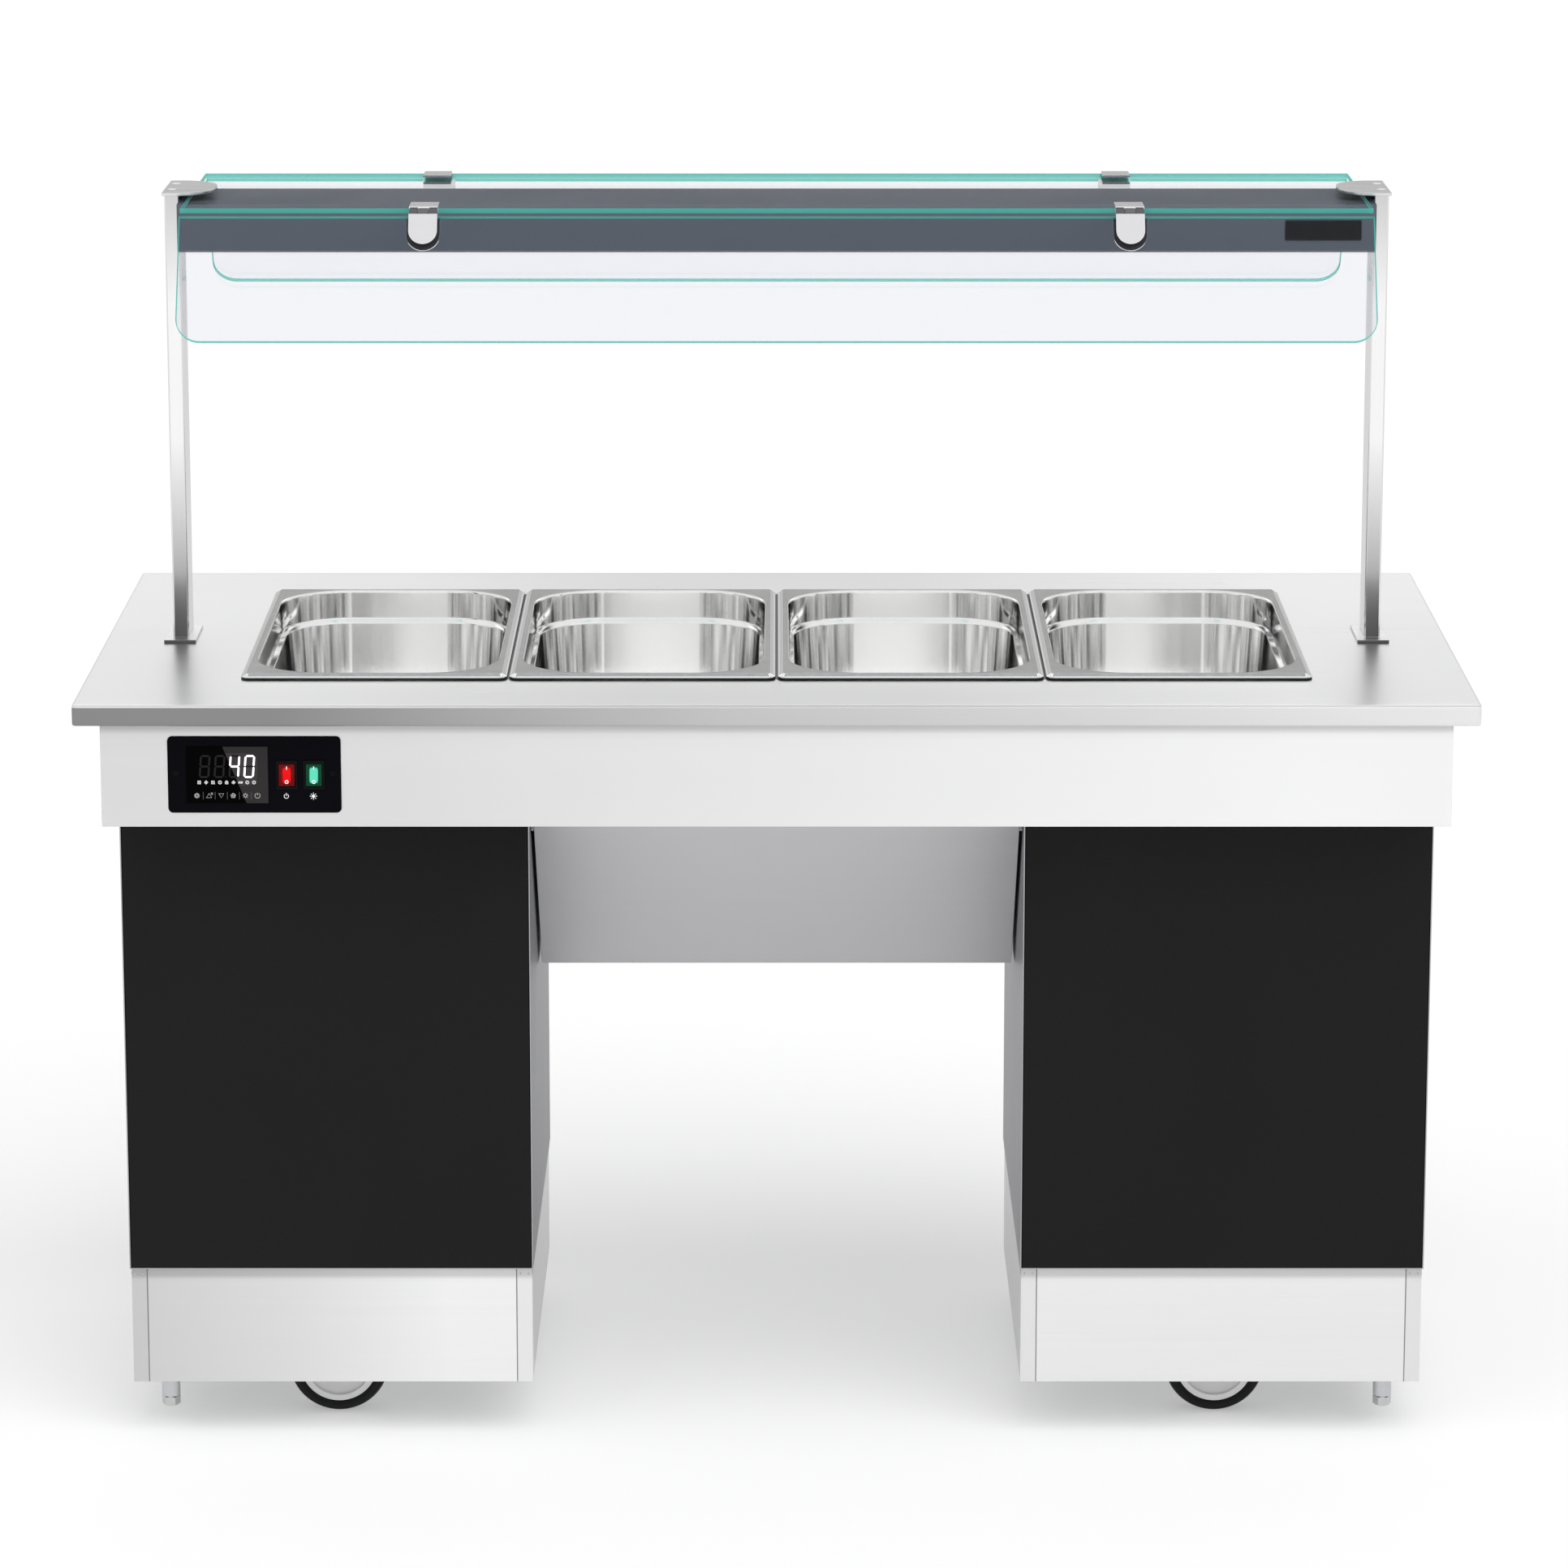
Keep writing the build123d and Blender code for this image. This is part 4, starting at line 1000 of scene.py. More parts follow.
def merged(shapes: Iterable[Shape]) -> Shape:
    """Puts several shapes into one, using them up.

    Args:
        shapes: The shapes.

    Returns:
        One shape that holds them all.
    """
    whole = bmesh.new()
    for shape in shapes:
        part = bpy.data.meshes.new("part")
        shape.to_mesh(part)
        shape.free()
        whole.from_mesh(part)
        bpy.data.meshes.remove(part)
    return whole


def raised(polygons: Sequence[Polygon], place: Matrix, height: float) -> Shape:
    """Raises flat outlines into low prisms.

    Args:
        polygons: Outlines, counter-clockwise, in the plane's own axes.
        place: Where the plane lies, with its Z axis outwards.
        height: Height of the prisms.

    Returns:
        The new shape.
    """
    bm = bmesh.new()
    for polygon in polygons:
        rows = []
        for level in (0.0, height):
            rows.append([bm.verts.new(place @ Vector((x, y, level))) for x, y in polygon])
        low, high = rows
        bm.faces.new(list(reversed(low)))
        bm.faces.new(high)
        for i in range(len(low)):
            bm.faces.new((low[i - 1], low[i], high[i], high[i - 1]))
    return bm


class Strokes:
    """Line drawing for printed symbols, in the plane of a panel."""

    def __init__(self, width: float) -> None:
        """Starts an empty drawing with lines of one width."""
        self.width = width
        self.polygons: list[Polygon] = []

    def line(self, points: Sequence[Flat], closed: bool = False) -> None:
        """Draws a line through points.

        Args:
            points: Points of the line.
            closed: Joins the end to the start.
        """
        path = [Vector(point) for point in points]
        count = len(path)
        sides = []
        for i, point in enumerate(path):
            before = path[i - 1] if i or closed else point
            after = path[(i + 1) % count] if i < count - 1 or closed else point
            along = (after - before).normalized()
            sides.append(Vector((-along.y, along.x)) * self.width / 2)
        for i in range(count if closed else count - 1):
            j = (i + 1) % count
            corners = (path[i] - sides[i], path[j] - sides[j], path[j] + sides[j], path[i] + sides[i])
            self.polygons.append([tuple(corner) for corner in corners])

    def arc(self, centre: Flat, radius: float, start: float = 0.0, end: float = 360.0) -> None:
        """Draws an arc, or a full circle.

        Args:
            centre: Middle of the arc.
            radius: Its radius.
            start: Angle in degrees at which it starts.
            end: Angle in degrees at which it ends.
        """
        full = end - start >= 360
        steps = max(6, int((end - start) / 18))
        count = steps if full else steps + 1
        angles = [radians(start + (end - start) * i / steps) for i in range(count)]
        points = [(centre[0] + radius * cos(a), centre[1] + radius * sin(a)) for a in angles]
        self.line(points, closed=full)

    def rays(self, centre: Flat, inner: float, outer: float, count: int) -> None:
        """Draws short lines that point away from a centre.

        Args:
            centre: The centre.
            inner: Distance at which a line starts.
            outer: Distance at which it ends.
            count: Number of lines.
        """
        for i in range(count):
            angle = tau * i / count + pi / 2
            way = Vector((cos(angle), sin(angle)))
            self.line([tuple(Vector(centre) + way * inner), tuple(Vector(centre) + way * outer)])


class GeometrySheet(NodeSheet):
    """Sheet of a geometry node tree that makes pieces in one finish."""

    def __init__(self, name: str, inputs: dict[str, str]) -> None:
        """Starts the tree with its sockets.

        Args:
            name: Name of the tree.
            inputs: Kinds of its inputs by their names.
        """
        super().__init__(bpy.data.node_groups.new(name, "GeometryNodeTree"))
        face = self.tree.interface
        for label, kind in {**inputs, "Finish": "Material"}.items():
            face.new_socket(name=label, in_out="INPUT", socket_type=f"NodeSocket{kind}")
        face.new_socket(name="Geometry", in_out="OUTPUT", socket_type="NodeSocketGeometry")
        self.given = self.add("NodeGroupInput").outputs

    def moved(self, shape: Socket, shift: Socket) -> Socket:
        """Moves a shape and returns it."""
        return self.made("GeometryNodeTransform", {"Geometry": shape, "Translation": shift})

    def end(self, shape: Socket) -> None:
        """Ends the tree with real faces in the given finish.

        Args:
            shape: What the tree has made.
        """
        real = self.made("GeometryNodeRealizeInstances", {"Geometry": shape})
        inputs = {"Geometry": real, "Material": self.given["Finish"]}
        self.add("NodeGroupOutput", {0: self.made("GeometryNodeSetMaterial", inputs)})

    def grow(self, start: Mesh, values: dict[str, object], finish: Finish) -> Mesh:
        """Runs the tree.

        Args:
            start: Mesh that the tree starts from, which is used up.
            values: Values of the inputs by their names.
            finish: Finish of the faces.

        Returns:
            A plain mesh.
        """
        carrier = linked("grown", start)
        modifier = carrier.modifiers.new("grown", "NODES")
        modifier.node_group = self.tree
        named = {**values, "Finish": finish.material()}
        for socket in self.tree.interface.items_tree:
            if socket.in_out == "INPUT" and socket.name in named:
                modifier[socket.identifier] = named[socket.name]
        return settled(carrier)


@dataclass(frozen=True)
class Fastener:
    """One kind of screw or bolt, whose heads a node tree sets on seats.

    Attributes:
        head: Shape of the heads.
        radius: Radius of a head.
        height: Height of a head.
        finish: Finish of the heads.
        slot: Material slot of the record that they stand for.
    """

    head: Head
    radius: float
    height: float
    finish: Finish
    slot: str

    def fit(self, name: str, seats: Sequence[Seat], body: str = "counter") -> None:
        """Sets a head on each seat.

        Args:
            name: Name of the piece that all the heads make.
            seats: Places and outward directions of the heads.
            body: Body that carries them.
        """
        points = bpy.data.meshes.new("seats")
        points.from_pydata([place for place, _ in seats], [], [])
        facing = points.attributes.new("facing", "FLOAT_VECTOR", "POINT")
        for i, (_, way) in enumerate(seats):
            facing.data[i].vector = way
        values = {"Head Radius": self.radius, "Head Height": self.height, "Turn Seed": 7}
        mesh = self._sheet(self.head).grow(points, values, self.finish)
        smooth(mesh)
        mesh.set_sharp_from_angle(angle=radians(30))
        hand_over(name, mesh, [self.finish], body, self.slot)

    @staticmethod
    @cache
    def _sheet(head: Head) -> GeometrySheet:
        """Builds the tree that sets one kind of head, on first use.

        Args:
            head: Shape of the heads.

        Returns:
            The tree's sheet.
        """
        inputs = {"Geometry": "Geometry", "Head Radius": "Float", "Head Height": "Float", "Turn Seed": "Int"}
        sheet = GeometrySheet(f"set_heads_{head.name.lower()}", inputs)
        body = Fastener._body(sheet, head)
        facing = sheet.made("GeometryNodeInputNamedAttribute", {"Name": "facing"}, data_type="FLOAT_VECTOR")
        turn = sheet.made("FunctionNodeAlignRotationToVector", {"Vector": facing}, axis="Z")
        inputs = {"Points": sheet.given["Geometry"], "Instance": body, "Rotation": turn}
        placed = sheet.made("GeometryNodeInstanceOnPoints", inputs)
        chance = sheet.add("FunctionNodeRandomValue", {"Seed": sheet.given["Turn Seed"]}, data_type="FLOAT")
        spin = sheet.joined(Z=sheet.maths("MULTIPLY", chance.outputs[1], tau))
        euler = sheet.made("FunctionNodeEulerToRotation", {0: spin})
        inputs = {"Instances": placed, "Rotation": euler, "Local Space": True}
        sheet.end(sheet.made("GeometryNodeRotateInstances", inputs))
        return sheet

    @staticmethod
    def _body(sheet: GeometrySheet, head: Head) -> Socket:
        """Builds one head that stands on the plane Z = 0.

        Args:
            sheet: Sheet of the tree.
            head: Shape of the head.

        Returns:
            The head's mesh socket.
        """
        droop, recess, slot_length, slot_width = -0.38, 0.52, 1.25, 0.25
        radius, height = sheet.given["Head Radius"], sheet.given["Head Height"]
        corners = 6 if head is Head.HEXAGON else 24
        inputs = {"Vertices": corners, "Fill Segments": 3, "Radius": radius, "Depth": height}
        drum = sheet.made("GeometryNodeMeshCylinder", inputs, fill_type="TRIANGLE_FAN")
        standing = sheet.moved(drum, sheet.joined(Z=sheet.maths("MULTIPLY", height, 0.5)))
        x, y, z = sheet.split(sheet.made("GeometryNodeInputPosition"))
        away = sheet.add("ShaderNodeVectorMath", {0: sheet.joined(X=x, Y=y)}, operation="LENGTH")
        share = sheet.maths("POWER", sheet.maths("DIVIDE", away.outputs["Value"], radius), 2.0)
        lower = sheet.maths("MULTIPLY", sheet.maths("MULTIPLY", z, share), droop)
        inputs = {"Geometry": standing, "Offset": sheet.joined(Z=lower)}
        crowned = sheet.made("GeometryNodeSetPosition", inputs)
        if head is Head.HEXAGON:
            return crowned
        if head is Head.SOCKET:
            inputs = {"Vertices": 6, "Radius": sheet.maths("MULTIPLY", radius, recess), "Depth": height}
            cutters = [sheet.made("GeometryNodeMeshCylinder", inputs)]
        else:
            long, short = (sheet.maths("MULTIPLY", radius, part) for part in (slot_length, slot_width))
            sizes = (sheet.joined(X=x, Y=y, Z=height) for x, y in ((long, short), (short, long)))
            cutters = [sheet.made("GeometryNodeMeshCube", {"Size": size}) for size in sizes]
        cut = sheet.add("GeometryNodeMeshBoolean", {"Mesh 1": crowned}, operation="DIFFERENCE")
        top = sheet.joined(Z=height)
        for cutter in cutters:
            sheet.tree.links.new(sheet.moved(cutter, top), cut.inputs["Mesh 2"])
        return cut.outputs[0]


PLINTH_SCREW = Fastener(Head.CROSS, 0.0016, 0.0008, FOOT_STEEL, "foot_steel")
CASTER_BOLT = Fastener(Head.HEXAGON, 0.0065, 0.0045, ZINC, "zinc_steel")
CAP_SCREW = Fastener(Head.SOCKET, 0.0055, 0.0009, CAP_WHITE, "hinge_chrome")
HINGE_SCREW = Fastener(Head.SOCKET, 0.0055, 0.0022, CHROME, "hinge_chrome")
FASCIA_SCREW = Fastener(Head.CROSS, 0.0032, 0.0012, BLACK_PLASTIC, "black_plastic")


@dataclass
class Worktop(Assembly):
    """Folded top with rounded bends round the opening for the pans.

    Attributes:
        sheet: Thickness of the sheet.
        bend: Outside radius of the bends.
        fold: Width of the edge that is turned in under the lip.
        margin: Width of the flat with which the section starts.
        opening: Length and depth of the opening.
        mouth: Radius of the opening's corners.
        corner: Radius of the upright corners.
        tight: Smallest radius of an upright corner.
        sweep: Facets of one corner.
    """

    sheet: float = 0.002
    bend: float = 0.0032
    fold: float = 0.016
    margin: float = 0.05
    opening: Flat = (1.3014, 0.5224)
    mouth: float = 0.002
    corner: float = 0.005
    tight: float = 0.0006
    sweep: int = 5

    def build(self) -> None:
        """Builds the top."""
        low, high = self.box("worktop")
        mouth = [self._hole(level) for level in (high.z, high.z - self.sheet)]
        section = [self._ring(high - low, inset, level) for inset, level in self._section(low.z, high.z)]
        mesh = plain_mesh(lofted([mouth[0], *section, mouth[1]], wrapped=True))
        # The lip and the underside take a darker copy of the top's steel, as painted shade.
        for polygon in mesh.polygons:
            polygon.material_index = int(polygon.center.z < high.z - self.bend)
        self.show("worktop", mesh, TOP_STEEL, LIP_PAINTED_SHADE)

    def _section(self, low: float, high: float) -> list[Flat]:
        """Draws the sheet from the flat top round the lip and back.

        Args:
            low: Height of the lip's lower edge.
            high: Height of the top.

        Returns:
            Insets and heights.
        """
        sheet, fold, margin = self.sheet, self.fold, self.margin
        inner, bottom, under = self.bend - sheet, low + sheet, high - sheet
        outside = [(margin, high, 0), (0, high, self.bend), (0, low, self.bend), (fold, low, 0)]
        inside = [(fold, bottom, 0), (sheet, bottom, inner), (sheet, under, inner), (margin, under, 0)]
        return bent_path(outside) + bent_path(inside)

    def _ring(self, size: Vector, inset: float, level: float) -> list[Vector]:
        """Outline of the top at an inset."""
        radius = max(self.corner - inset, self.tight)
        return rounded_ring(size.x - 2 * inset, size.y - 2 * inset, radius, level, (0, 0), self.sweep)

    def _hole(self, level: float) -> list[Vector]:
        """Outline of the opening at a height."""
        return rounded_ring(*self.opening, self.mouth, level, (0, 0), self.sweep)


@dataclass
class FoodPans(Assembly):
    """Four pressed pans with a rolled rim, a groove along it, a shoulder and round corners.

    Attributes:
        wall: Thickness of the wall.
        flange: Width of the rim.
        lip: Drop at which the painted shadow at the foot of the rim begins.
        foot: Drop at which it ends.
        border: Inset up to which the corners follow the rim.
        rim_corner: Radius of the rim's corners.
        tight: Smallest radius of a corner along the rim.
        mouth_corner: Radius of the mouth's corners.
        sweep: Facets of one corner.
    """

    wall: float = 0.0012
    flange: float = 0.014
    lip: float = 0.0042
    foot: float = 0.0060
    border: float = 0.009
    rim_corner: float = 0.010
    tight: float = 0.003
    mouth_corner: float = 0.088
    sweep: int = 16

    def build(self) -> None:
        """Builds the pans."""
        for number in range(1, 5):
            self._pan(f"pan_{number}")

    def _pan(self, node: str) -> None:
        """Builds one pan.

        Args:
            node: Node that the pan is shown in place of.
        """
        low, high = self.box(node)
        middle = (low + high) / 2
        rings = []
        for inset, drop in self._section(high.z - low.z):
            size = (high.x - low.x - 2 * inset, high.y - low.y - 2 * inset)
            ring = rounded_ring(*size, self._radius(inset), high.z - drop, (middle.x, middle.y), self.sweep)
            rings.append(ring)
        mesh = plain_mesh(lofted(rings, capped=True))
        for polygon in mesh.polygons:
            drop = high.z - polygon.center.z
            # The foot of the rim is black: a painted shadow where the rim meets the worktop.
            if self.lip < drop < self.foot + 0.0001:
                polygon.material_index = 2
            # The rim's flat top takes a darker copy of the pan's steel, as painted shade.
            elif polygon.normal.z > 0.9 and drop < self.wall:
                polygon.material_index = 1
        self.show(node, mesh, PAN_STEEL, RIM_SHADE, PAD_RUBBER_AND_SHADOW)

    def _section(self, depth: float) -> list[Flat]:
        """Draws the wall from the floor up the inside, over the rim and down the outside.

        Args:
            depth: Depth of the pan.

        Returns:
            Insets and drops.
        """
        edge, wall, inner_edge = self.flange, self.wall, self.flange - self.wall
        start, end = 0.037, 0.042
        above, below, draft, floor = 0.001, 0.007, 0.0148, 0.045
        inside = [
            (edge + floor, depth - wall, 0),
            (edge + draft, depth - wall, 0.016),
            (edge + below, end, 0.003),
            (edge + above, start, 0.003),
            (edge, 0.0, 0.0035),
            (0.0068, 0.0, 0.0015), (0.0020, 0.0027, 0.0004), (0.0015, 0.0034, 0.0002),
            (0.0009, 0.0030, 0.0002), (0.0, 0.0036, 0.0006), (0.0, self.lip, 0), (0.0, self.foot, 0),
        ]
        outside = [
            (wall, self.foot, 0), (wall, 0.0050, 0.0004), (0.0028, 0.0042, 0.0008), (0.0074, wall, 0.0012),
            (inner_edge, wall, 0.002),
            (inner_edge + above, start + wall / 2, 0.003),
            (inner_edge + below, end + wall / 2, 0.003),
            (inner_edge + draft, depth, 0.017),
            (edge + floor, depth, 0),
        ]
        return bent_path(inside, steps=6) + bent_path(outside, steps=6)

    def _radius(self, inset: float) -> float:
        """Finds the corner radius, which is small along the rim and large from the mouth inwards.

        Args:
            inset: Inset from the rim's outer edge.

        Returns:
            The radius.
        """
        if inset < self.border:
            return max(self.rim_corner - inset, self.tight)
        return self.mouth_corner + self.flange - inset


@dataclass
class HeatedWell(Assembly):
    """Tub with its bars, heaters, tray and carrying frame.

    Attributes:
        edge: Rounding of folded edges.
    """

    edge: float = 0.0005

    def build(self) -> None:
        """Dresses the well's pieces."""
        finishes = {
            "well_tub": SHEET_LEVEL,
            # The bars between the pans are darkened as painted shade.
            "pan_bars": PAN_BAR_SHADE,
            "upper_frame": ZINC,
            "heater_tray": ZINC,
            "heater_mats": HEATER,
            "temperature_probe": BRASS,
        }
        for node, finish in finishes.items():
            self.replace(node, finish, self.edge)
        self.replace("insulation_board", WOOL, 3 * self.edge)


@dataclass
class Aprons(Assembly):
    """Apron sheets, the cover under the well and the cable inlet.

    Attributes:
        edge: Rounding of folded edges.
        seal: Inner and outer radius of the cable inlet's sealing ring.
        deep: How far the ring reaches into the inlet.
    """

    edge: float = 0.0006
    seal: Flat = (0.0062, 0.0128)
    deep: float = 0.004

    def build(self) -> None:
        """Dresses the sheets and the inlet."""
        for side in ("front", "rear", *SIDES):
            self.replace(f"{side}_apron", APRON_STEEL, self.edge)
        self.replace("under_cover", COVER_STEEL, self.edge)
        self._gland()

    def _gland(self) -> None:
        """Dresses the cable inlet and adds its sealing ring."""
        self.replace("cable_gland", BLACK_PLASTIC, 0.001, 3)
        middle = self.middle("cable_gland")
        rear = self.box("cable_gland")[1].y
        place = Matrix.Translation((middle.x, rear, middle.z)) @ FACING_REAR
        inner, outer = self.seal
        profile = [(inner, -self.deep), (inner, 0.0012), (0.0075, 0.0022), (0.0115, 0.0022)]
        profile += [(outer, 0.0), (outer, -self.deep)]
        mesh = plain_mesh(turned(profile, place, segments=32, wrapped=True))
        hand_over("gland_seal", mesh, [PAD_RUBBER_AND_SHADOW], "counter", "black_plastic")


@dataclass
class Pedestals(Assembly):
    """Two pedestals with their boards and plinths.

    Attributes:
        screw_drop: Distance of the screws below the plinth's top.
        screw_inset: Distance of a screw from the middle of its strip.
        strip: Width of a corner strip.
        joint: Half width of the line of painted shade in the joint beside a strip.
    """

    screw_drop: float = 0.008
    screw_inset: float = 0.005
    strip: float = 0.019
    joint: float = 0.0004

    def build(self) -> None:
        """Dresses boards, sides and plinths."""
        for side in SIDES:
            self.replace(f"{side}_carcass", SHEET_Z, 0.0004)
            self.replace(f"{side}_plinth", PLINTH_STEEL, 0.0005)
            self.replace(f"{side}_base_frame", ZINC, 0.0006)
            for face in ("front", "rear"):
                self.replace(f"{face}_{side}_panel", BLACK_BOARD, 0.0005)
        self.replace("plinth_corners", STRIP_STEEL, 0.0005)
        PLINTH_SCREW.fit("plinth_screws", self._screw_seats())
        self._joints()

    def _joints(self) -> None:
        """Draws thin lines of painted shade in the joints beside the corner strips, front and rear."""
        shapes = []
        for side in SIDES:
            low, high = self.box(f"{side}_plinth")
            inset, tall = self.strip + self.joint, high.z - low.z
            joint = [(-self.joint, 0.0), (self.joint, 0.0), (self.joint, tall), (-self.joint, tall)]
            for y, facing in ((low.y, FACING_FRONT), (high.y, FACING_REAR)):
                for x in (low.x + inset, high.x - inset):
                    place = Matrix.Translation((x, y, low.z)) @ facing
                    shapes.append(raised([joint], place, height=0.00015))
        hand_over("plinth_joints", plain_mesh(merged(shapes)), [JOINT_SHADE], "counter", "pad_rubber")

    def _screw_seats(self) -> list[Seat]:
        """Finds the seats of the screws near the top of each corner strip.

        Returns:
            Places and outward directions.
        """
        seats = []
        half = self.strip / 2
        for side in SIDES:
            low, high = self.box(f"{side}_plinth")
            level = high.z - self.screw_drop
            for x, to_x in ((low.x, -1), (high.x, 1)):
                for y, to_y in ((low.y, -1), (high.y, 1)):
                    for shift in (-self.screw_inset, self.screw_inset):
                        across = x - to_x * (half + shift)
                        along = y - to_y * (half + shift)
                        seats.append((Vector((across, y, level)), Vector((0, to_y, 0))))
                        seats.append((Vector((x, along, level)), Vector((to_x, 0, 0))))
        return seats


@dataclass
class Casters(Assembly):
    """Four swivel casters with rubber tyres.

    Attributes:
        radius: Radius of a wheel.
        width: Width of a wheel.
        core: Radius of the plastic wheel under the tyre.
        ring: Inner radius of the wheel's raised ring.
        ring_face: Distance of the ring's face from the wheel's middle.
        web: Distance of the sunk web's face from the wheel's middle.
        hub: Radius of the hub.
        bore: Radius of the bore.
        plate: Thickness of a plate.
        bolts: Distances of the plate's bolts from the swivel axis.
        swivel: Distance of the swivel axes from the counter's middle.
        collar: Radius round a swivel axis that holds only the fork's bore.
        play: How much wider the fork's bore is shown, so that it turns freely.
    """

    radius: float = 0.0625
    width: float = 0.030
    core: float = 0.050
    ring: float = 0.0415
    ring_face: float = 0.0125
    web: float = 0.0085
    hub: float = 0.014
    bore: float = 0.00405
    plate: float = 0.005
    bolts: Flat = (0.041, 0.031)
    swivel: float = 0.579
    collar: float = 0.007
    play: float = 0.0001

    def build(self) -> None:
        """Builds the wheels and dresses forks and plates."""
        self.replace("caster_plates", ZINC, 0.0006)
        for corner in CORNERS:
            self._fork(corner)
            self._wheel(corner)
        CASTER_BOLT.fit("caster_bolts", self._bolt_seats())

    def _axis(self, corner: str) -> Vector:
        """Place of a corner's swivel axis on the floor."""
        middle = self.middle(f"caster_fork_{corner}")
        return Vector((copysign(self.swivel, middle.x), middle.y, 0.0))

    def _fork(self, corner: str) -> None:
        """Shows a fork whose bore turns freely round the kingpin.

        Args:
            corner: Corner of the counter.
        """
        node = f"caster_fork_{corner}"
        mesh = self.soft_edged(node, 0.0007)
        axis = self._axis(corner)
        for vertex in mesh.vertices:
            away = (vertex.co - axis) * Vector((1, 1, 0))
            if away.length < self.collar:
                vertex.co += away.normalized() * self.play
        self.show(node, mesh, ZINC)

    def _wheel(self, corner: str) -> None:
        """Builds one wheel.

        Args:
            corner: Corner of the counter.
        """
        node = f"caster_wheel_{corner}"
        middle = self.middle(node)
        body = self.body(node)
        half, face, web = self.width / 2, self.ring_face, self.web
        seat = self.core - 0.001
        tread = [(seat, face, 0), (self.core + 0.0035, half, 0.002)]
        tread += [(self.radius - 0.003, half - 0.0006, 0.003), (self.radius, 0.007, 0.004)]
        tread.append((self.radius, 0.0, 0))
        hand_over(f"tyre_{corner}", self._turned(tread, middle), [TYRE], body, "wheel_rubber", node)
        side = [(self.bore, half, 0), (self.hub, half, 0.0012), (self.hub + 0.002, web, 0.0015)]
        side += [(self.ring - 0.001, web, 0.0015), (self.ring, face, 0.0008)]
        side += [(self.core - 0.0012, face, 0.0008), (seat, 0.0, 0)]
        mesh = self._turned(side, middle, 30)
        for polygon in mesh.polygons:
            away = (polygon.center - middle) * Vector((1, 0, 1))
            polygon.material_index = int(away.length > self.ring - 0.0012)
        hand_over(f"wheel_core_{corner}", mesh, [WHEEL_CORE, WHEEL_RING], body, "wheel_rubber")

    def _turned(self, points: Sequence[Spot], middle: Vector, sharp: float = 40.0) -> Mesh:
        """Turns half a section and its mirror image about a wheel's axis.

        Args:
            points: Radius and distance from the wheel's middle of each bend, with its own radius.
            middle: Middle of the wheel.
            sharp: Angle in degrees above which an edge stays hard.

        Returns:
            The closed ring.
        """
        half = bent_path(points)
        profile = half + [(radius, -aside) for radius, aside in reversed(half[:-1])]
        place = Matrix.Translation(middle) @ FACING_FRONT
        return plain_mesh(turned(profile, place, segments=72, wrapped=True), sharp)

    def _bolt_seats(self) -> list[Seat]:
        """Finds the seats of the bolts under the casters' plates.

        Returns:
            Places and outward directions.
        """
        seats = []
        under = self.box("caster_plates")[1].z - self.plate
        for corner in CORNERS:
            axis = self._axis(corner)
            for to_x in (-1, 1):
                for to_y in (-1, 1):
                    seat = axis + Vector((to_x * self.bolts[0], to_y * self.bolts[1], under))
                    seats.append((seat, DOWN))
        return seats


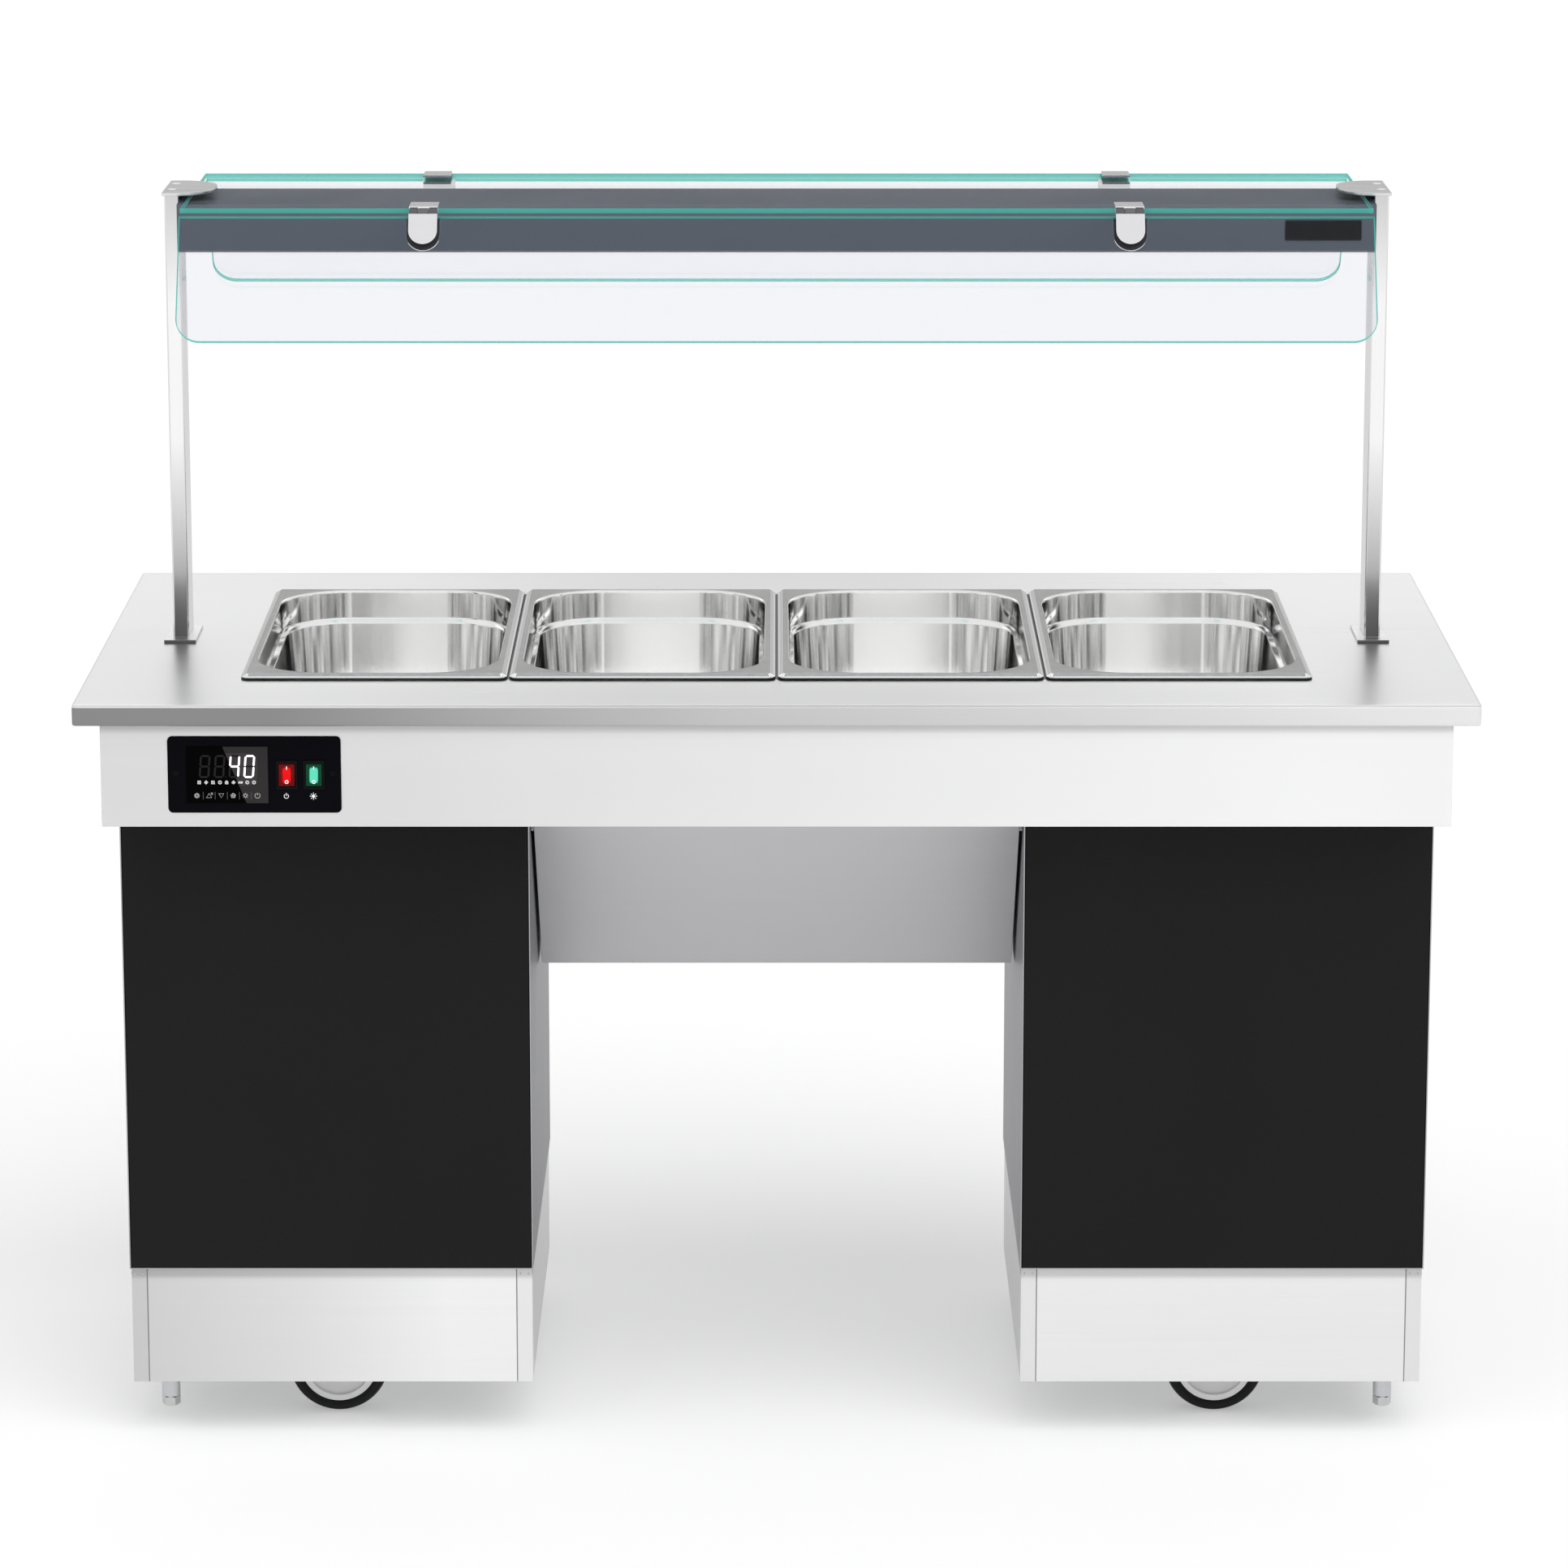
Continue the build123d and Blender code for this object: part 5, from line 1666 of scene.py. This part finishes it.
@dataclass
class LevellingFeet(Assembly):
    """Four feet with a chamfered hexagon and a threaded stud.

    Attributes:
        across: Width of the hexagon across its flats.
        hexagon: Height of the hexagon.
        stud: Radius of the stud over its thread.
        pitch: Pitch of the thread.
        ridge: Radius of the thread's ridge.
        chamfer: Chamfer of the stud.
    """

    across: float = 0.020
    hexagon: float = 0.012
    stud: float = 0.006
    pitch: float = 0.00175
    ridge: float = 0.00055
    chamfer: float = 0.0014

    def build(self) -> None:
        """Builds the feet."""
        for corner in CORNERS:
            node = f"foot_{corner}"
            low, high = self.box(node)
            middle = (low + high) / 2
            base = Matrix.Translation((middle.x, middle.y, low.z))
            core = self.stud - 0.0009
            tip = high.z - low.z
            neck = [(core, self.hexagon - 0.001), (core, tip - self.chamfer), (core - self.chamfer, tip)]
            thread = bmesh.new()
            thread.from_mesh(self._thread(base, tip - self.hexagon - 2 * self.chamfer))
            mesh = plain_mesh(merged([self._head(base), turned(neck, base, 24), thread]), 34)
            self.show(node, mesh, FOOT_STEEL)

    def _head(self, base: Matrix) -> Shape:
        """Builds the hexagon with its corners turned off at both ends.

        Args:
            base: Middle of the foot's underside.

        Returns:
            The closed shape.
        """
        half, facets, bevel, turned_off = self.across / 2, 48, 0.00084, 0.0004
        ends = ((0.0, True), (bevel, False), (self.hexagon - bevel, False), (self.hexagon, True))
        rings = []
        for level, is_end in ends:
            ring = []
            for step in range(facets):
                angle = tau * step / facets
                aside = (angle % (pi / 3)) - pi / 6
                flat = half / cos(aside)
                reach = min(flat, half - turned_off) if is_end else flat
                ring.append(base @ Vector((reach * cos(angle), reach * sin(angle), level)))
            rings.append(ring)
        return lofted(rings, capped=True)

    def _thread(self, base: Matrix, length: float) -> Mesh:
        """Winds the thread's ridge round the stud.

        Args:
            base: Middle of the foot's underside.
            length: Length of the thread.

        Returns:
            The ridge in place.
        """
        values = {"Turns": length / self.pitch, "Radius": self.stud - self.ridge}
        values.update({"Length": length, "Ridge": self.ridge})
        mesh = self._thread_sheet().grow(bpy.data.meshes.new("thread"), values, FOOT_STEEL)
        mesh.transform(base @ Matrix.Translation((0, 0, self.hexagon + 0.0008)))
        return mesh

    @staticmethod
    @cache
    def _thread_sheet() -> GeometrySheet:
        """Builds the tree that winds a round ridge into a helix, on first use.

        Returns:
            The tree's sheet.
        """
        sheet = GeometrySheet("wind_thread", dict.fromkeys(("Turns", "Radius", "Length", "Ridge"), "Float"))
        inputs = {
            "Resolution": 18,
            "Rotations": sheet.given["Turns"],
            "Start Radius": sheet.given["Radius"],
            "End Radius": sheet.given["Radius"],
            "Height": sheet.given["Length"],
        }
        helix = sheet.made("GeometryNodeCurveSpiral", inputs)
        inputs = {"Resolution": 6, "Radius": sheet.given["Ridge"]}
        circle = sheet.made("GeometryNodeCurvePrimitiveCircle", inputs)
        inputs = {"Curve": helix, "Profile Curve": circle, "Fill Caps": True}
        sheet.end(sheet.made("GeometryNodeCurveToMesh", inputs))
        return sheet


@dataclass
class GlassGuard(Assembly):
    """Posts, lamp channel, glass panes and their hinges.

    Attributes:
        slope: Angle of the flaps from the vertical, in degrees.
        foot: Thickness of a post's foot plate.
        pivot: Distance of the hinge pins from the middle, and their height.
        knuckle: Reach of the knuckles from the pin.
        hinge_x: Distance of the hinges from the middle.
        jaw_screw: Distance of a fixed leaf's screw from its end.
        flap_screw: Distances of a flap's screw from the pin, down the flap and inwards.
        cap_screw: Distances of the top plates' screws from the middle, along X and Y.
        badge: Middle and size of the blank badge on the lamp channel, along X and Z.
        chip_gap: Distance between two light chips.
        chip: Side of one chip.
    """

    slope: float = 29.0
    foot: float = 0.004
    pivot: Flat = (0.172, 1.528)
    knuckle: float = 0.0047
    hinge_x: float = 0.43
    jaw_screw: float = 0.034
    flap_screw: Flat = (0.027, 0.0057)
    cap_screw: Flat = (0.750, 0.027)
    badge: tuple[float, float, float, float] = (0.6746, 1.4917, 0.094, 0.0247)
    chip_gap: float = 0.025
    chip: float = 0.005

    def build(self) -> None:
        """Dresses posts, lamp and glass."""
        for side in SIDES:
            self._post(f"{side}_post")
        self.replace("post_top_plates", CAP_PLATE_SHADE, 0.0007, 3)
        self._lamp_channel()
        self.finish_node("lamp_diffuser", OPAL)
        self.replace("led_boards", BOARD_METAL, 0.0003)
        self.replace("glass_pads", PAD_RUBBER_AND_SHADOW, 0.0003)
        self._fixed_leaves()
        self._pane("top_glass", UP, GLASS)
        # The front flap takes a greyer copy of the clear glass, as painted shade.
        for side, way, finish in (("front", -1, FLAP_GLASS_SHADE), ("rear", 1, GLASS)):
            facing = self._facing(way)
            self._pane(f"{side}_flap_glass", facing, finish)
            self._flap_leaves(side, facing)
        self._badge()
        self._chips()
        self._screws()

    def _facing(self, way: int) -> Vector:
        """Direction in which the front or rear flap faces, for a way of -1 or 1 along Y."""
        lean = radians(self.slope)
        return Vector((0, way * cos(lean), sin(lean)))

    @staticmethod
    def _down(facing: Vector) -> Vector:
        """Direction down a flap that faces one way."""
        return Vector((0, copysign(facing.z, facing.y), -abs(facing.y)))

    def _pin(self, facing: Vector) -> Vector:
        """Middle of the hinge pin of a flap that faces one way."""
        return Vector((0, copysign(self.pivot[0], facing.y), self.pivot[1]))

    def _lamp_channel(self) -> None:
        """Shows the lamp channel, with painted shade on its top."""
        node = "lamp_housing"
        mesh = self.soft_edged(node, 0.0006)
        for polygon in mesh.polygons:
            polygon.material_index = int(polygon.normal.z > 0.9)
        self.show(node, mesh, SLATE, SLATE_TOP_SHADE)

    def _post(self, node: str) -> None:
        """Shows a post with painted shade on its sides, and a satin foot plate whose edges keep the post's
        painted shade.

        Args:
            node: Node of the post.
        """
        mesh = self.soft_edged(node, 0.001)
        top = self.box(node)[0].z + self.foot + 0.0002
        # Sides take the darker steel as painted shade; the foot plate's edges keep the post's steel with its
        # painted dark foot.
        for polygon in mesh.polygons:
            if polygon.center.z > top:
                polygon.material_index = 2 * int(abs(polygon.normal.x) > 0.3)
            else:
                polygon.material_index = int(polygon.normal.z > 0.5)
        self.show(node, mesh, POST_STEEL, PLATE_STEEL, POST_SIDE_SHADE)

    def _pane(self, node: str, facing: Vector, finish: Finish) -> None:
        """Shows a pane with polished, tinted edges.

        Args:
            node: Node of the pane.
            facing: Direction in which the pane faces.
            finish: Finish of its two faces.
        """
        mesh = self.soft_edged(node, 0.0009)
        for polygon in mesh.polygons:
            polygon.material_index = int(abs(polygon.normal.dot(facing)) < 0.95)
        self.show(node, mesh, finish, GLASS_EDGE)

    def _fixed_leaves(self) -> None:
        """Shows the top pane's clamps, with painted shade on their knuckles."""
        node = "fixed_hinge_leaves"
        mesh = self.soft_edged(node, 0.0006, 3)
        for polygon in mesh.polygons:
            polygon.material_index = int(abs(polygon.center.y) > self.pivot[0] - self.knuckle)
        self.show(node, mesh, CHROME, KNUCKLE_SHADE)

    def _flap_leaves(self, side: str, facing: Vector) -> None:
        """Shows a flap's clamps, with painted shade on their knuckles and a dark lining on the jaw behind
        the glass.

        Args:
            side: Side of the flap.
            facing: Direction in which the flap faces.
        """
        node = f"{side}_flap_leaves"
        mesh = self.soft_edged(node, 0.0005, 3)
        outside = max(polygon.center.dot(facing) for polygon in mesh.polygons)
        pin, down = self._pin(facing), self._down(facing)
        for polygon in mesh.polygons:
            behind = polygon.center.dot(facing) < outside - 0.004
            lining = behind and polygon.normal.dot(facing) > 0.98
            barrel = (polygon.center - pin).dot(down) < self.knuckle
            polygon.material_index = 2 if barrel else int(lining)
        self.show(node, mesh, CHROME, PAD_RUBBER_AND_SHADOW, KNUCKLE_SHADE)

    def _badge(self) -> None:
        """Fixes a blank dark plate on the lamp channel."""
        x, z, width, height = self.badge
        corner, thickness, edge = 0.0018, 0.0014, 0.0004
        front = self.box("lamp_housing")[0].y
        outline = [(p.x, p.y) for p in rounded_ring(width, height, corner, 0.0, (0, 0), 5)]
        place = Matrix.Translation((x, front, z)) @ FACING_FRONT
        mesh = rounded_edges(raised([outline], place, thickness), edge)
        hand_over("lamp_badge", mesh, [BADGE_BLACK], "counter", "black_plastic")

    def _chips(self) -> None:
        """Sets rows of light chips on the undersides of the boards."""
        low, high = self.box("led_boards")
        free_end, drop = 0.02, 0.0006
        count = int((high.x - low.x - 2 * free_end) / self.chip_gap)
        values = {"Count": count, "Gap": self.chip_gap, "Chip": self.chip, "Apart": 0.06}
        mesh = self._chip_sheet().grow(bpy.data.meshes.new("chips"), values, LED_WHITE)
        start = -self.chip_gap * (count - 1) / 2
        mesh.transform(Matrix.Translation((start, 0, low.z - drop)))
        hand_over("light_chips", mesh, [LED_WHITE], "counter", "opal_plastic")

    @staticmethod
    def _chip_sheet() -> GeometrySheet:
        """Builds the tree that sets two rows of chips.

        Returns:
            The tree's sheet.
        """
        inputs = {"Count": "Int", "Gap": "Float", "Chip": "Float", "Apart": "Float"}
        sheet = GeometrySheet("set_chips", inputs)
        side = sheet.given["Chip"]
        size = sheet.joined(X=side, Y=side, Z=sheet.maths("MULTIPLY", side, 0.25))
        chip = sheet.made("GeometryNodeMeshCube", {"Size": size})
        step = sheet.joined(X=sheet.given["Gap"])
        rows = sheet.add("GeometryNodeJoinGeometry")
        for way in (-0.5, 0.5):
            begin = sheet.joined(Y=sheet.maths("MULTIPLY", sheet.given["Apart"], way))
            inputs = {"Count": sheet.given["Count"], "Start Location": begin, "Offset": step}
            line = sheet.made("GeometryNodeMeshLine", inputs)
            placed = sheet.made("GeometryNodeInstanceOnPoints", {"Points": line, "Instance": chip})
            sheet.tree.links.new(placed, rows.inputs[0])
        sheet.end(rows.outputs[0])
        return sheet

    def _screws(self) -> None:
        """Sets the screws of the top plates and the hinges."""
        top = self.box("post_top_plates")[1].z
        x, y = self.cap_screw
        seats = [(Vector((to_x * x, to_y * y, top)), UP) for to_x in (-1, 1) for to_y in (-1, 1)]
        CAP_SCREW.fit("top_plate_screws", seats)
        low, high = self.box("fixed_hinge_leaves")
        hinges = (-self.hinge_x, self.hinge_x)
        rows = (low.y + self.jaw_screw, high.y - self.jaw_screw)
        seats = [(Vector((x, y, low.z)), DOWN) for x in hinges for y in rows]
        HINGE_SCREW.fit("hinge_screws", seats)
        along, inwards = self.flap_screw
        for side, way in (("front", -1), ("rear", 1)):
            facing = self._facing(way)
            seat = self._pin(facing) + self._down(facing) * along - facing * inwards
            seats = [(seat + Vector((x, 0, 0)), -facing) for x in hinges]
            HINGE_SCREW.fit(f"{side}_flap_screws", seats, f"{side}_flap")


@dataclass
class Controls(Assembly):
    """Control plate with its display, symbols and two lit rockers.

    Attributes:
        digit: Width and height of one digit.
        bar: Width of a digit's segment.
        gap: Gap at each end of a segment.
        lean: How far a digit leans to the right for each metre of height.
        pitch: Distance between two digits.
        ink: Height of printed marks.
        tilt: Angle by which a rocker is tipped at rest, in degrees.
        rocker_half: Half height of a rocker.
        proud: How far a rocker's middle stands out of the plate.
        rise: How much further its ends stand out.
        mark_shift: Distance of a rocker's marks from its middle.
        segments: Lit segments of each sign that is shown.
    """

    digit: Flat = (0.0127, 0.0283)
    bar: float = 0.0023
    gap: float = 0.00035
    lean: float = 0.078
    pitch: float = 0.0179
    ink: float = 0.0002
    tilt: float = -8.0
    rocker_half: float = 0.0125
    proud: float = 0.002
    rise: float = 0.0016
    mark_shift: float = 0.0085
    segments: dict[str, str] = field(default_factory=lambda: {"4": "bcfg", "0": "abcdef"})

    def build(self) -> None:
        """Dresses plate, display and switches."""
        self.replace("control_fascia", FASCIA_BLACK, 0.0005)
        self.replace("switch_housings", BLACK_PLASTIC, 0.0006)
        window = self.middle("display_module")
        finish = WindowFinish("display_window", (0.0006, 0.0006, 0.0007), 0.12, centre=tuple(window))
        self.replace("display_module", finish, 0.0005)
        front = self.box("display_module")[0].y
        self.face = Matrix.Translation((window.x, front, window.z)) @ FACING_FRONT
        self._digits()
        self._display_icons()
        self._touch_keys()
        self._rocker("power_rocker", (0.14, 0.0, 0.001), (0.72, 0.002, 0.003))
        self._rocker("light_rocker", (0.0, 0.055, 0.022), (0.10, 0.62, 0.42))
        self._plate_marks()

    def _mark(self, name: str, polygons: Sequence[Polygon], place: Matrix, finish: Finish) -> None:
        """Adds printed or lit marks in a panel's plane."""
        mesh = plain_mesh(raised(polygons, place, self.ink))
        hand_over(name, mesh, [finish], "counter", "display_black")

    def _digit_bars(self, centre: Flat) -> dict[str, Polygon]:
        """Outlines of a digit's seven segments.

        Args:
            centre: Middle of the digit.

        Returns:
            Outlines by the segments' letters.
        """
        width, height = self.digit
        half = self.bar / 2
        wide, tall = width / 2 - half, height / 2 - half
        ends = {
            "a": ((-wide, tall), (wide, tall)),
            "b": ((wide, 0), (wide, tall)),
            "c": ((wide, -tall), (wide, 0)),
            "d": ((-wide, -tall), (wide, -tall)),
            "e": ((-wide, -tall), (-wide, 0)),
            "f": ((-wide, 0), (-wide, tall)),
            "g": ((-wide, 0), (wide, 0)),
        }
        bars = {}
        for letter, (start, end) in ends.items():
            first, last = Vector(start), Vector(end)
            along = (last - first).normalized()
            aside = Vector((-along.y, along.x)) * half
            first, last = first + along * self.gap, last - along * self.gap
            inner, outer = first + along * half, last - along * half
            line = (first, inner - aside, outer - aside, last, outer + aside, inner + aside)
            bars[letter] = [(centre[0] + p.x + self.lean * p.y, centre[1] + p.y) for p in line]
        return bars

    def _digits(self) -> None:
        """Lights the two right-hand digits and leaves the others dark."""
        lit, dim = [], []
        first, level = -0.0268, 0.0106
        for place, sign in enumerate("  40"):
            bars = self._digit_bars((first + place * self.pitch, level))
            for letter, outline in bars.items():
                (lit if letter in self.segments.get(sign, "") else dim).append(outline)
        dot = 0.0008
        for x in (-0.0017, 0.0164):
            dim.append([(p.x, p.y) for p in rounded_ring(2 * dot, 2 * dot, dot, 0.0, (x, -0.0022), 2)])
        self._mark("lit_digits", lit, self.face, DIGIT_LIT)
        self._mark("dark_digits", dim, self.face, DIGIT_DIM)

    def _display_icons(self) -> None:
        """Prints the row of small signs under the digits."""
        small = Strokes(0.0007)
        level = -0.0091
        square = [(-0.0018, -0.0018), (0.0018, -0.0018), (0.0018, 0.0018), (-0.0018, 0.0018)]
        diamond = [(0.0, -0.0021), (0.0021, 0.0), (0.0, 0.0021), (-0.0021, 0.0)]
        house = [(-0.0017, -0.0018), (0.0017, -0.0018), (0.0017, 0.0006), (0.0, 0.0021), (-0.0017, 0.0006)]
        outlines = {-0.0337: square, -0.0254: diamond, -0.0171: square, -0.0007: house, 0.0076: diamond}
        for x, outline in outlines.items():
            for scale in (1.0, 0.4):
                small.line([(x + scale * a, level + scale * b) for a, b in outline], closed=True)
        for x in (-0.0088, 0.0242, 0.0323):
            small.arc((x, level), 0.0019)
            small.line([(x, level - 0.0006), (x, level + 0.0009)])
        letters = (
            [(-0.0026, -0.0012), (-0.0019, 0.0013), (-0.0012, -0.0012)],
            [(-0.0006, 0.0013), (-0.0005, -0.0011), (0.0006, -0.0011), (0.0007, 0.0013)],
            [(0.0013, -0.0012), (0.0026, 0.0013)],
            [(0.0013, 0.0013), (0.0026, -0.0012)],
        )
        for letter in letters:
            small.line([(0.0159 + a, level + b) for a, b in letter])
        self._mark("small_signs", small.polygons, self.face, INK_WHITE)

    def _touch_keys(self) -> None:
        """Prints the row of touch keys and the bars between them."""
        keys = Strokes(0.0006)
        level = -0.0255
        gear, rise, fall, fan, sun, power = -0.0368, -0.0222, -0.0074, 0.0070, 0.0217, 0.0362
        keys.arc((gear, level), 0.0014)
        keys.arc((gear, level), 0.0025)
        keys.rays((gear, level), 0.0025, 0.0034, 8)
        for x, way in ((rise, 1), (fall, -1)):
            corners = [(x - 0.0031, level - way * 0.0026), (x + 0.0031, level - way * 0.0026)]
            corners.append((x, level + way * 0.0028))
            keys.line(corners if way > 0 else corners[::-1], closed=True)
        tick = [(0.0026, 0.0014), (0.0044, 0.0014), (0.0044, 0.0034), (0.0026, 0.0034)]
        keys.line([(rise + a, level + b) for a, b in tick], closed=True)
        for step in range(5):
            angle = tau * step / 5 + pi / 2
            keys.arc((fan + 0.0019 * cos(angle), level + 0.0019 * sin(angle)), 0.0010)
        keys.arc((sun, level), 0.0017)
        keys.rays((sun, level), 0.0024, 0.0033, 8)
        keys.arc((power, level), 0.0031, 120, 420)
        keys.line([(power, level + 0.0004), (power, level + 0.0036)])
        self._mark("touch_keys", keys.polygons, self.face, INK_GREY)
        bars = Strokes(0.0005)
        for x in (-0.0292, -0.0148, -0.0001, 0.0144, 0.0288):
            bars.line([(x, level - 0.0045), (x, level + 0.0045)])
        self._mark("key_bars", bars.polygons, self.face, INK_DIM)

    def _rocker(self, node: str, edge: Colour, core: Colour) -> None:
        """Dresses one rocker and prints its marks.

        Args:
            node: Node of the rocker.
            edge: Colour of its frame.
            core: Colour of its lit middle.
        """
        middle = self.middle(node)
        finish = RockerFinish(f"{node}_plastic", edge, 0.22, core=core, centre=tuple(middle))
        self.replace(node, finish, 0.0006, 3)
        axis = Matrix.Translation((middle.x, self.box("control_fascia")[0].y, middle.z))
        tilted = axis @ Matrix.Rotation(radians(self.tilt), 4, "X")
        slope = atan2(self.rise, self.rocker_half)
        out = self.proud + self.rise * self.mark_shift / self.rocker_half
        line, ring = Strokes(0.0011), Strokes(0.0011)
        line.line([(0.0, -0.0020), (0.0, 0.0020)])
        ring.arc((0.0, 0.0), 0.0018)
        marks = []
        for way, drawing in ((1, line), (-1, ring)):
            seat = tilted @ Matrix.Translation((0, -out, way * self.mark_shift))
            turn = Matrix.Rotation(way * slope, 4, "X") @ FACING_FRONT
            marks.append(raised(drawing.polygons, seat @ turn, self.ink))
        mesh = plain_mesh(merged(marks))
        hand_over(f"{node}_marks", mesh, [INK_WHITE], self.body(node), "display_black")

    def _plate_marks(self) -> None:
        """Prints the signs under the rockers and sets the plate's screws."""
        low, high = self.box("control_fascia")
        middle = (low + high) / 2
        plate = Matrix.Translation((middle.x, low.y, middle.z)) @ FACING_FRONT
        level = -0.0265
        signs = Strokes(0.0007)
        power, light = 0.0382, 0.0709
        signs.arc((power, level), 0.0027, 120, 420)
        signs.line([(power, level + 0.0002), (power, level + 0.0040)])
        for radius in (0.0004, 0.0010, 0.0016):
            signs.arc((light, level), radius)
        signs.line([(light, level - 0.0030), (light, level - 0.0016)])
        signs.rays((light, level), 0.0026, 0.0044, 8)
        self._mark("plate_signs", signs.polygons, plate, INK_WHITE)
        front = Vector((0, -1, 0))
        screw_x, screw_rise = (-0.724, -0.535), 0.002
        seats = [(Vector((x, low.y, middle.z + screw_rise)), front) for x in screw_x]
        FASCIA_SCREW.fit("plate_screws", seats)


@dataclass
class Studio:
    """White room with soft light, and the camera at the photo's angle.

    Attributes:
        distance: Distance of the camera in front of the counter's middle.
        height: Height of the camera.
        pitch: How far the camera looks down, in degrees.
        lens: Focal length in millimetres on a 36 mm sensor.
        shift: Sideways and upward shift of the lens.
        ambient: Brightness of the room on matt surfaces.
        ceiling: Brightness of the ceiling in reflections.
        front: Brightness of the room's front in reflections.
        upper: Brightness above the horizon as flat tops mirror it.
        rear: Brightness of the room's rear in reflections, low down.
        dark: Brightness of the dark strips at the sides in reflections.
        inner: Brightness of the bright strips, the front, the dark flags in it, the front's sides and
            the rear in reflections of reflections.
    """

    distance: float = 7.242
    height: float = 2.498
    pitch: float = 11.8727
    lens: float = 134.35
    shift: Flat = (0.0047, -0.10)
    ambient: float = 0.45
    ceiling: float = 0.85
    front: float = 1.9
    upper: float = 0.76
    rear: float = 0.52
    dark: float = 0.02
    inner: tuple[float, ...] = (1.25, 1.15, 0.25, 0.72, 0.8)

    def build(self) -> None:
        """Sets up the room, the floor, the lamps and the camera."""
        self._room()
        self._floor()
        self._lamp("key", (0.55, -0.8, 1.2), 1.3)
        self._lamp("fill", (-0.9, -0.5, 0.9), 0.5)
        self._camera()
        bpy.context.scene.view_settings.view_transform = "Standard"
        LOG.info("studio is lit")

    def _room(self) -> None:
        """Makes a room that looks white, mirrors as a studio and lights matt surfaces softly."""
        world = bpy.data.worlds.new("studio_room")
        sheet = NodeSheet(NodeSheet.emptied(world))
        path = sheet.add("ShaderNodeLightPath").outputs
        seen = sheet.maths("MAXIMUM", path["Is Camera Ray"], path["Is Transmission Ray"])
        mirrored = self._mirrored(sheet, path["Glossy Depth"])
        level = sheet.ramp(path["Is Glossy Ray"], (0, 1), (self.ambient, mirrored))
        level = sheet.ramp(seen, (0, 1), (level, 1.0))
        shown = sheet.made("ShaderNodeBackground", {"Color": shade(grey(1.0)), "Strength": level})
        sheet.add("ShaderNodeOutputWorld", {"Surface": shown})
        bpy.context.scene.world = world

    def _mirrored(self, sheet: NodeSheet, depth: Socket) -> Socket:
        """Builds the room's brightness in reflections.

        Args:
            sheet: Sheet of the world's tree.
            depth: How many times the light has been mirrored.

        Returns:
            A bright front, a darker rear, bright and dark strips at the sides, an even band above
            them for flat tops, softer strips for the inside of the pans, and the ceiling.
        """
        x, y, z = sheet.split(sheet.add("ShaderNodeTexCoord").outputs["Generated"])
        bright, front, dark, beside, behind = self.inner
        waves = 8.0
        wave = sheet.maths("SINE", sheet.maths("MULTIPLY", sheet.maths("ARCTAN2", x, y), waves))
        sides = sheet.ramp(wave, (0.0, 0.7), (self.dark, self.front))
        level = sheet.fade(y, (-0.93, -0.75), self.front, sides)
        level = sheet.fade(z, (0.02, 0.12), level, self.upper)
        strips = sheet.ramp(wave, (-0.6, 0.9), (self.dark, bright))
        flag = sheet.ramp(sheet.maths("ABSOLUTE", x), (0.082, 0.1), (front, dark))
        glow = sheet.ramp(y, (-0.96, -0.72), (flag, beside))
        inner = sheet.fade(y, (-0.84, -0.62), glow, strips)
        level = sheet.ramp(depth, (1, 2), (level, inner))
        low_rear = sheet.ramp(depth, (1, 2), (self.rear, behind))
        rear = sheet.ramp(z, (0.24, 0.42), (low_rear, self.front))
        level = sheet.fade(y, (0.72, 0.9), level, rear)
        return sheet.fade(z, (0.5, 0.72), level, self.ceiling)

    def _floor(self) -> None:
        """Lays a pale floor that keeps the counter's shadow."""
        bm = bmesh.new()
        bmesh.ops.create_grid(bm, x_segments=2, y_segments=2, size=60.0)
        floor = linked("floor", plain_mesh(bm))
        paint = bpy.data.materials.new("pale_floor")
        sheet = NodeSheet(NodeSheet.emptied(paint))
        matt = sheet.made("ShaderNodeBsdfDiffuse", {"Color": shade(grey(0.8))})
        glow = sheet.made("ShaderNodeEmission", {"Strength": 0.34})
        both = sheet.made("ShaderNodeAddShader", {0: matt, 1: glow})
        sheet.add("ShaderNodeOutputMaterial", {"Surface": both})
        floor.data.materials.append(paint)

    def _lamp(self, name: str, way: Spot, power: float) -> None:
        """Adds a broad, even light from one direction.

        Args:
            name: Name of the light.
            way: Direction from the counter to the light.
            power: Power per square metre.
        """
        light = bpy.data.lights.new(name, "SUN")
        light.angle = radians(60)
        light.energy = power
        lamp = linked(name, light)
        lamp.rotation_euler = (-Vector(way)).to_track_quat("-Z", "Y").to_euler()
        lamp.visible_glossy = False

    def _camera(self) -> None:
        """Places the camera in front of the counter, looking slightly down."""
        data = bpy.data.cameras.new("view")
        data.lens = self.lens
        data.sensor_width = 36.0
        data.shift_x, data.shift_y = self.shift
        data.clip_end = 200.0
        camera = linked("view", data)
        camera.location = (0.0, -self.distance, self.height)
        camera.rotation_euler = (radians(90.0 - self.pitch), 0.0, 0.0)
        bpy.context.scene.camera = camera


def main() -> None:
    """Dresses the counter piece by piece, then sets up the studio."""
    logging.basicConfig(level=logging.INFO, format="%(message)s")
    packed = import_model()
    assemblies = (
        Worktop, FoodPans, HeatedWell, Aprons, Pedestals, Casters, LevellingFeet, GlassGuard, Controls
    )
    for assembly in assemblies:
        LOG.info("building %s", assembly.__name__)
        assembly(packed).build()
    Studio().build()


if __name__ == "__main__":
    main()
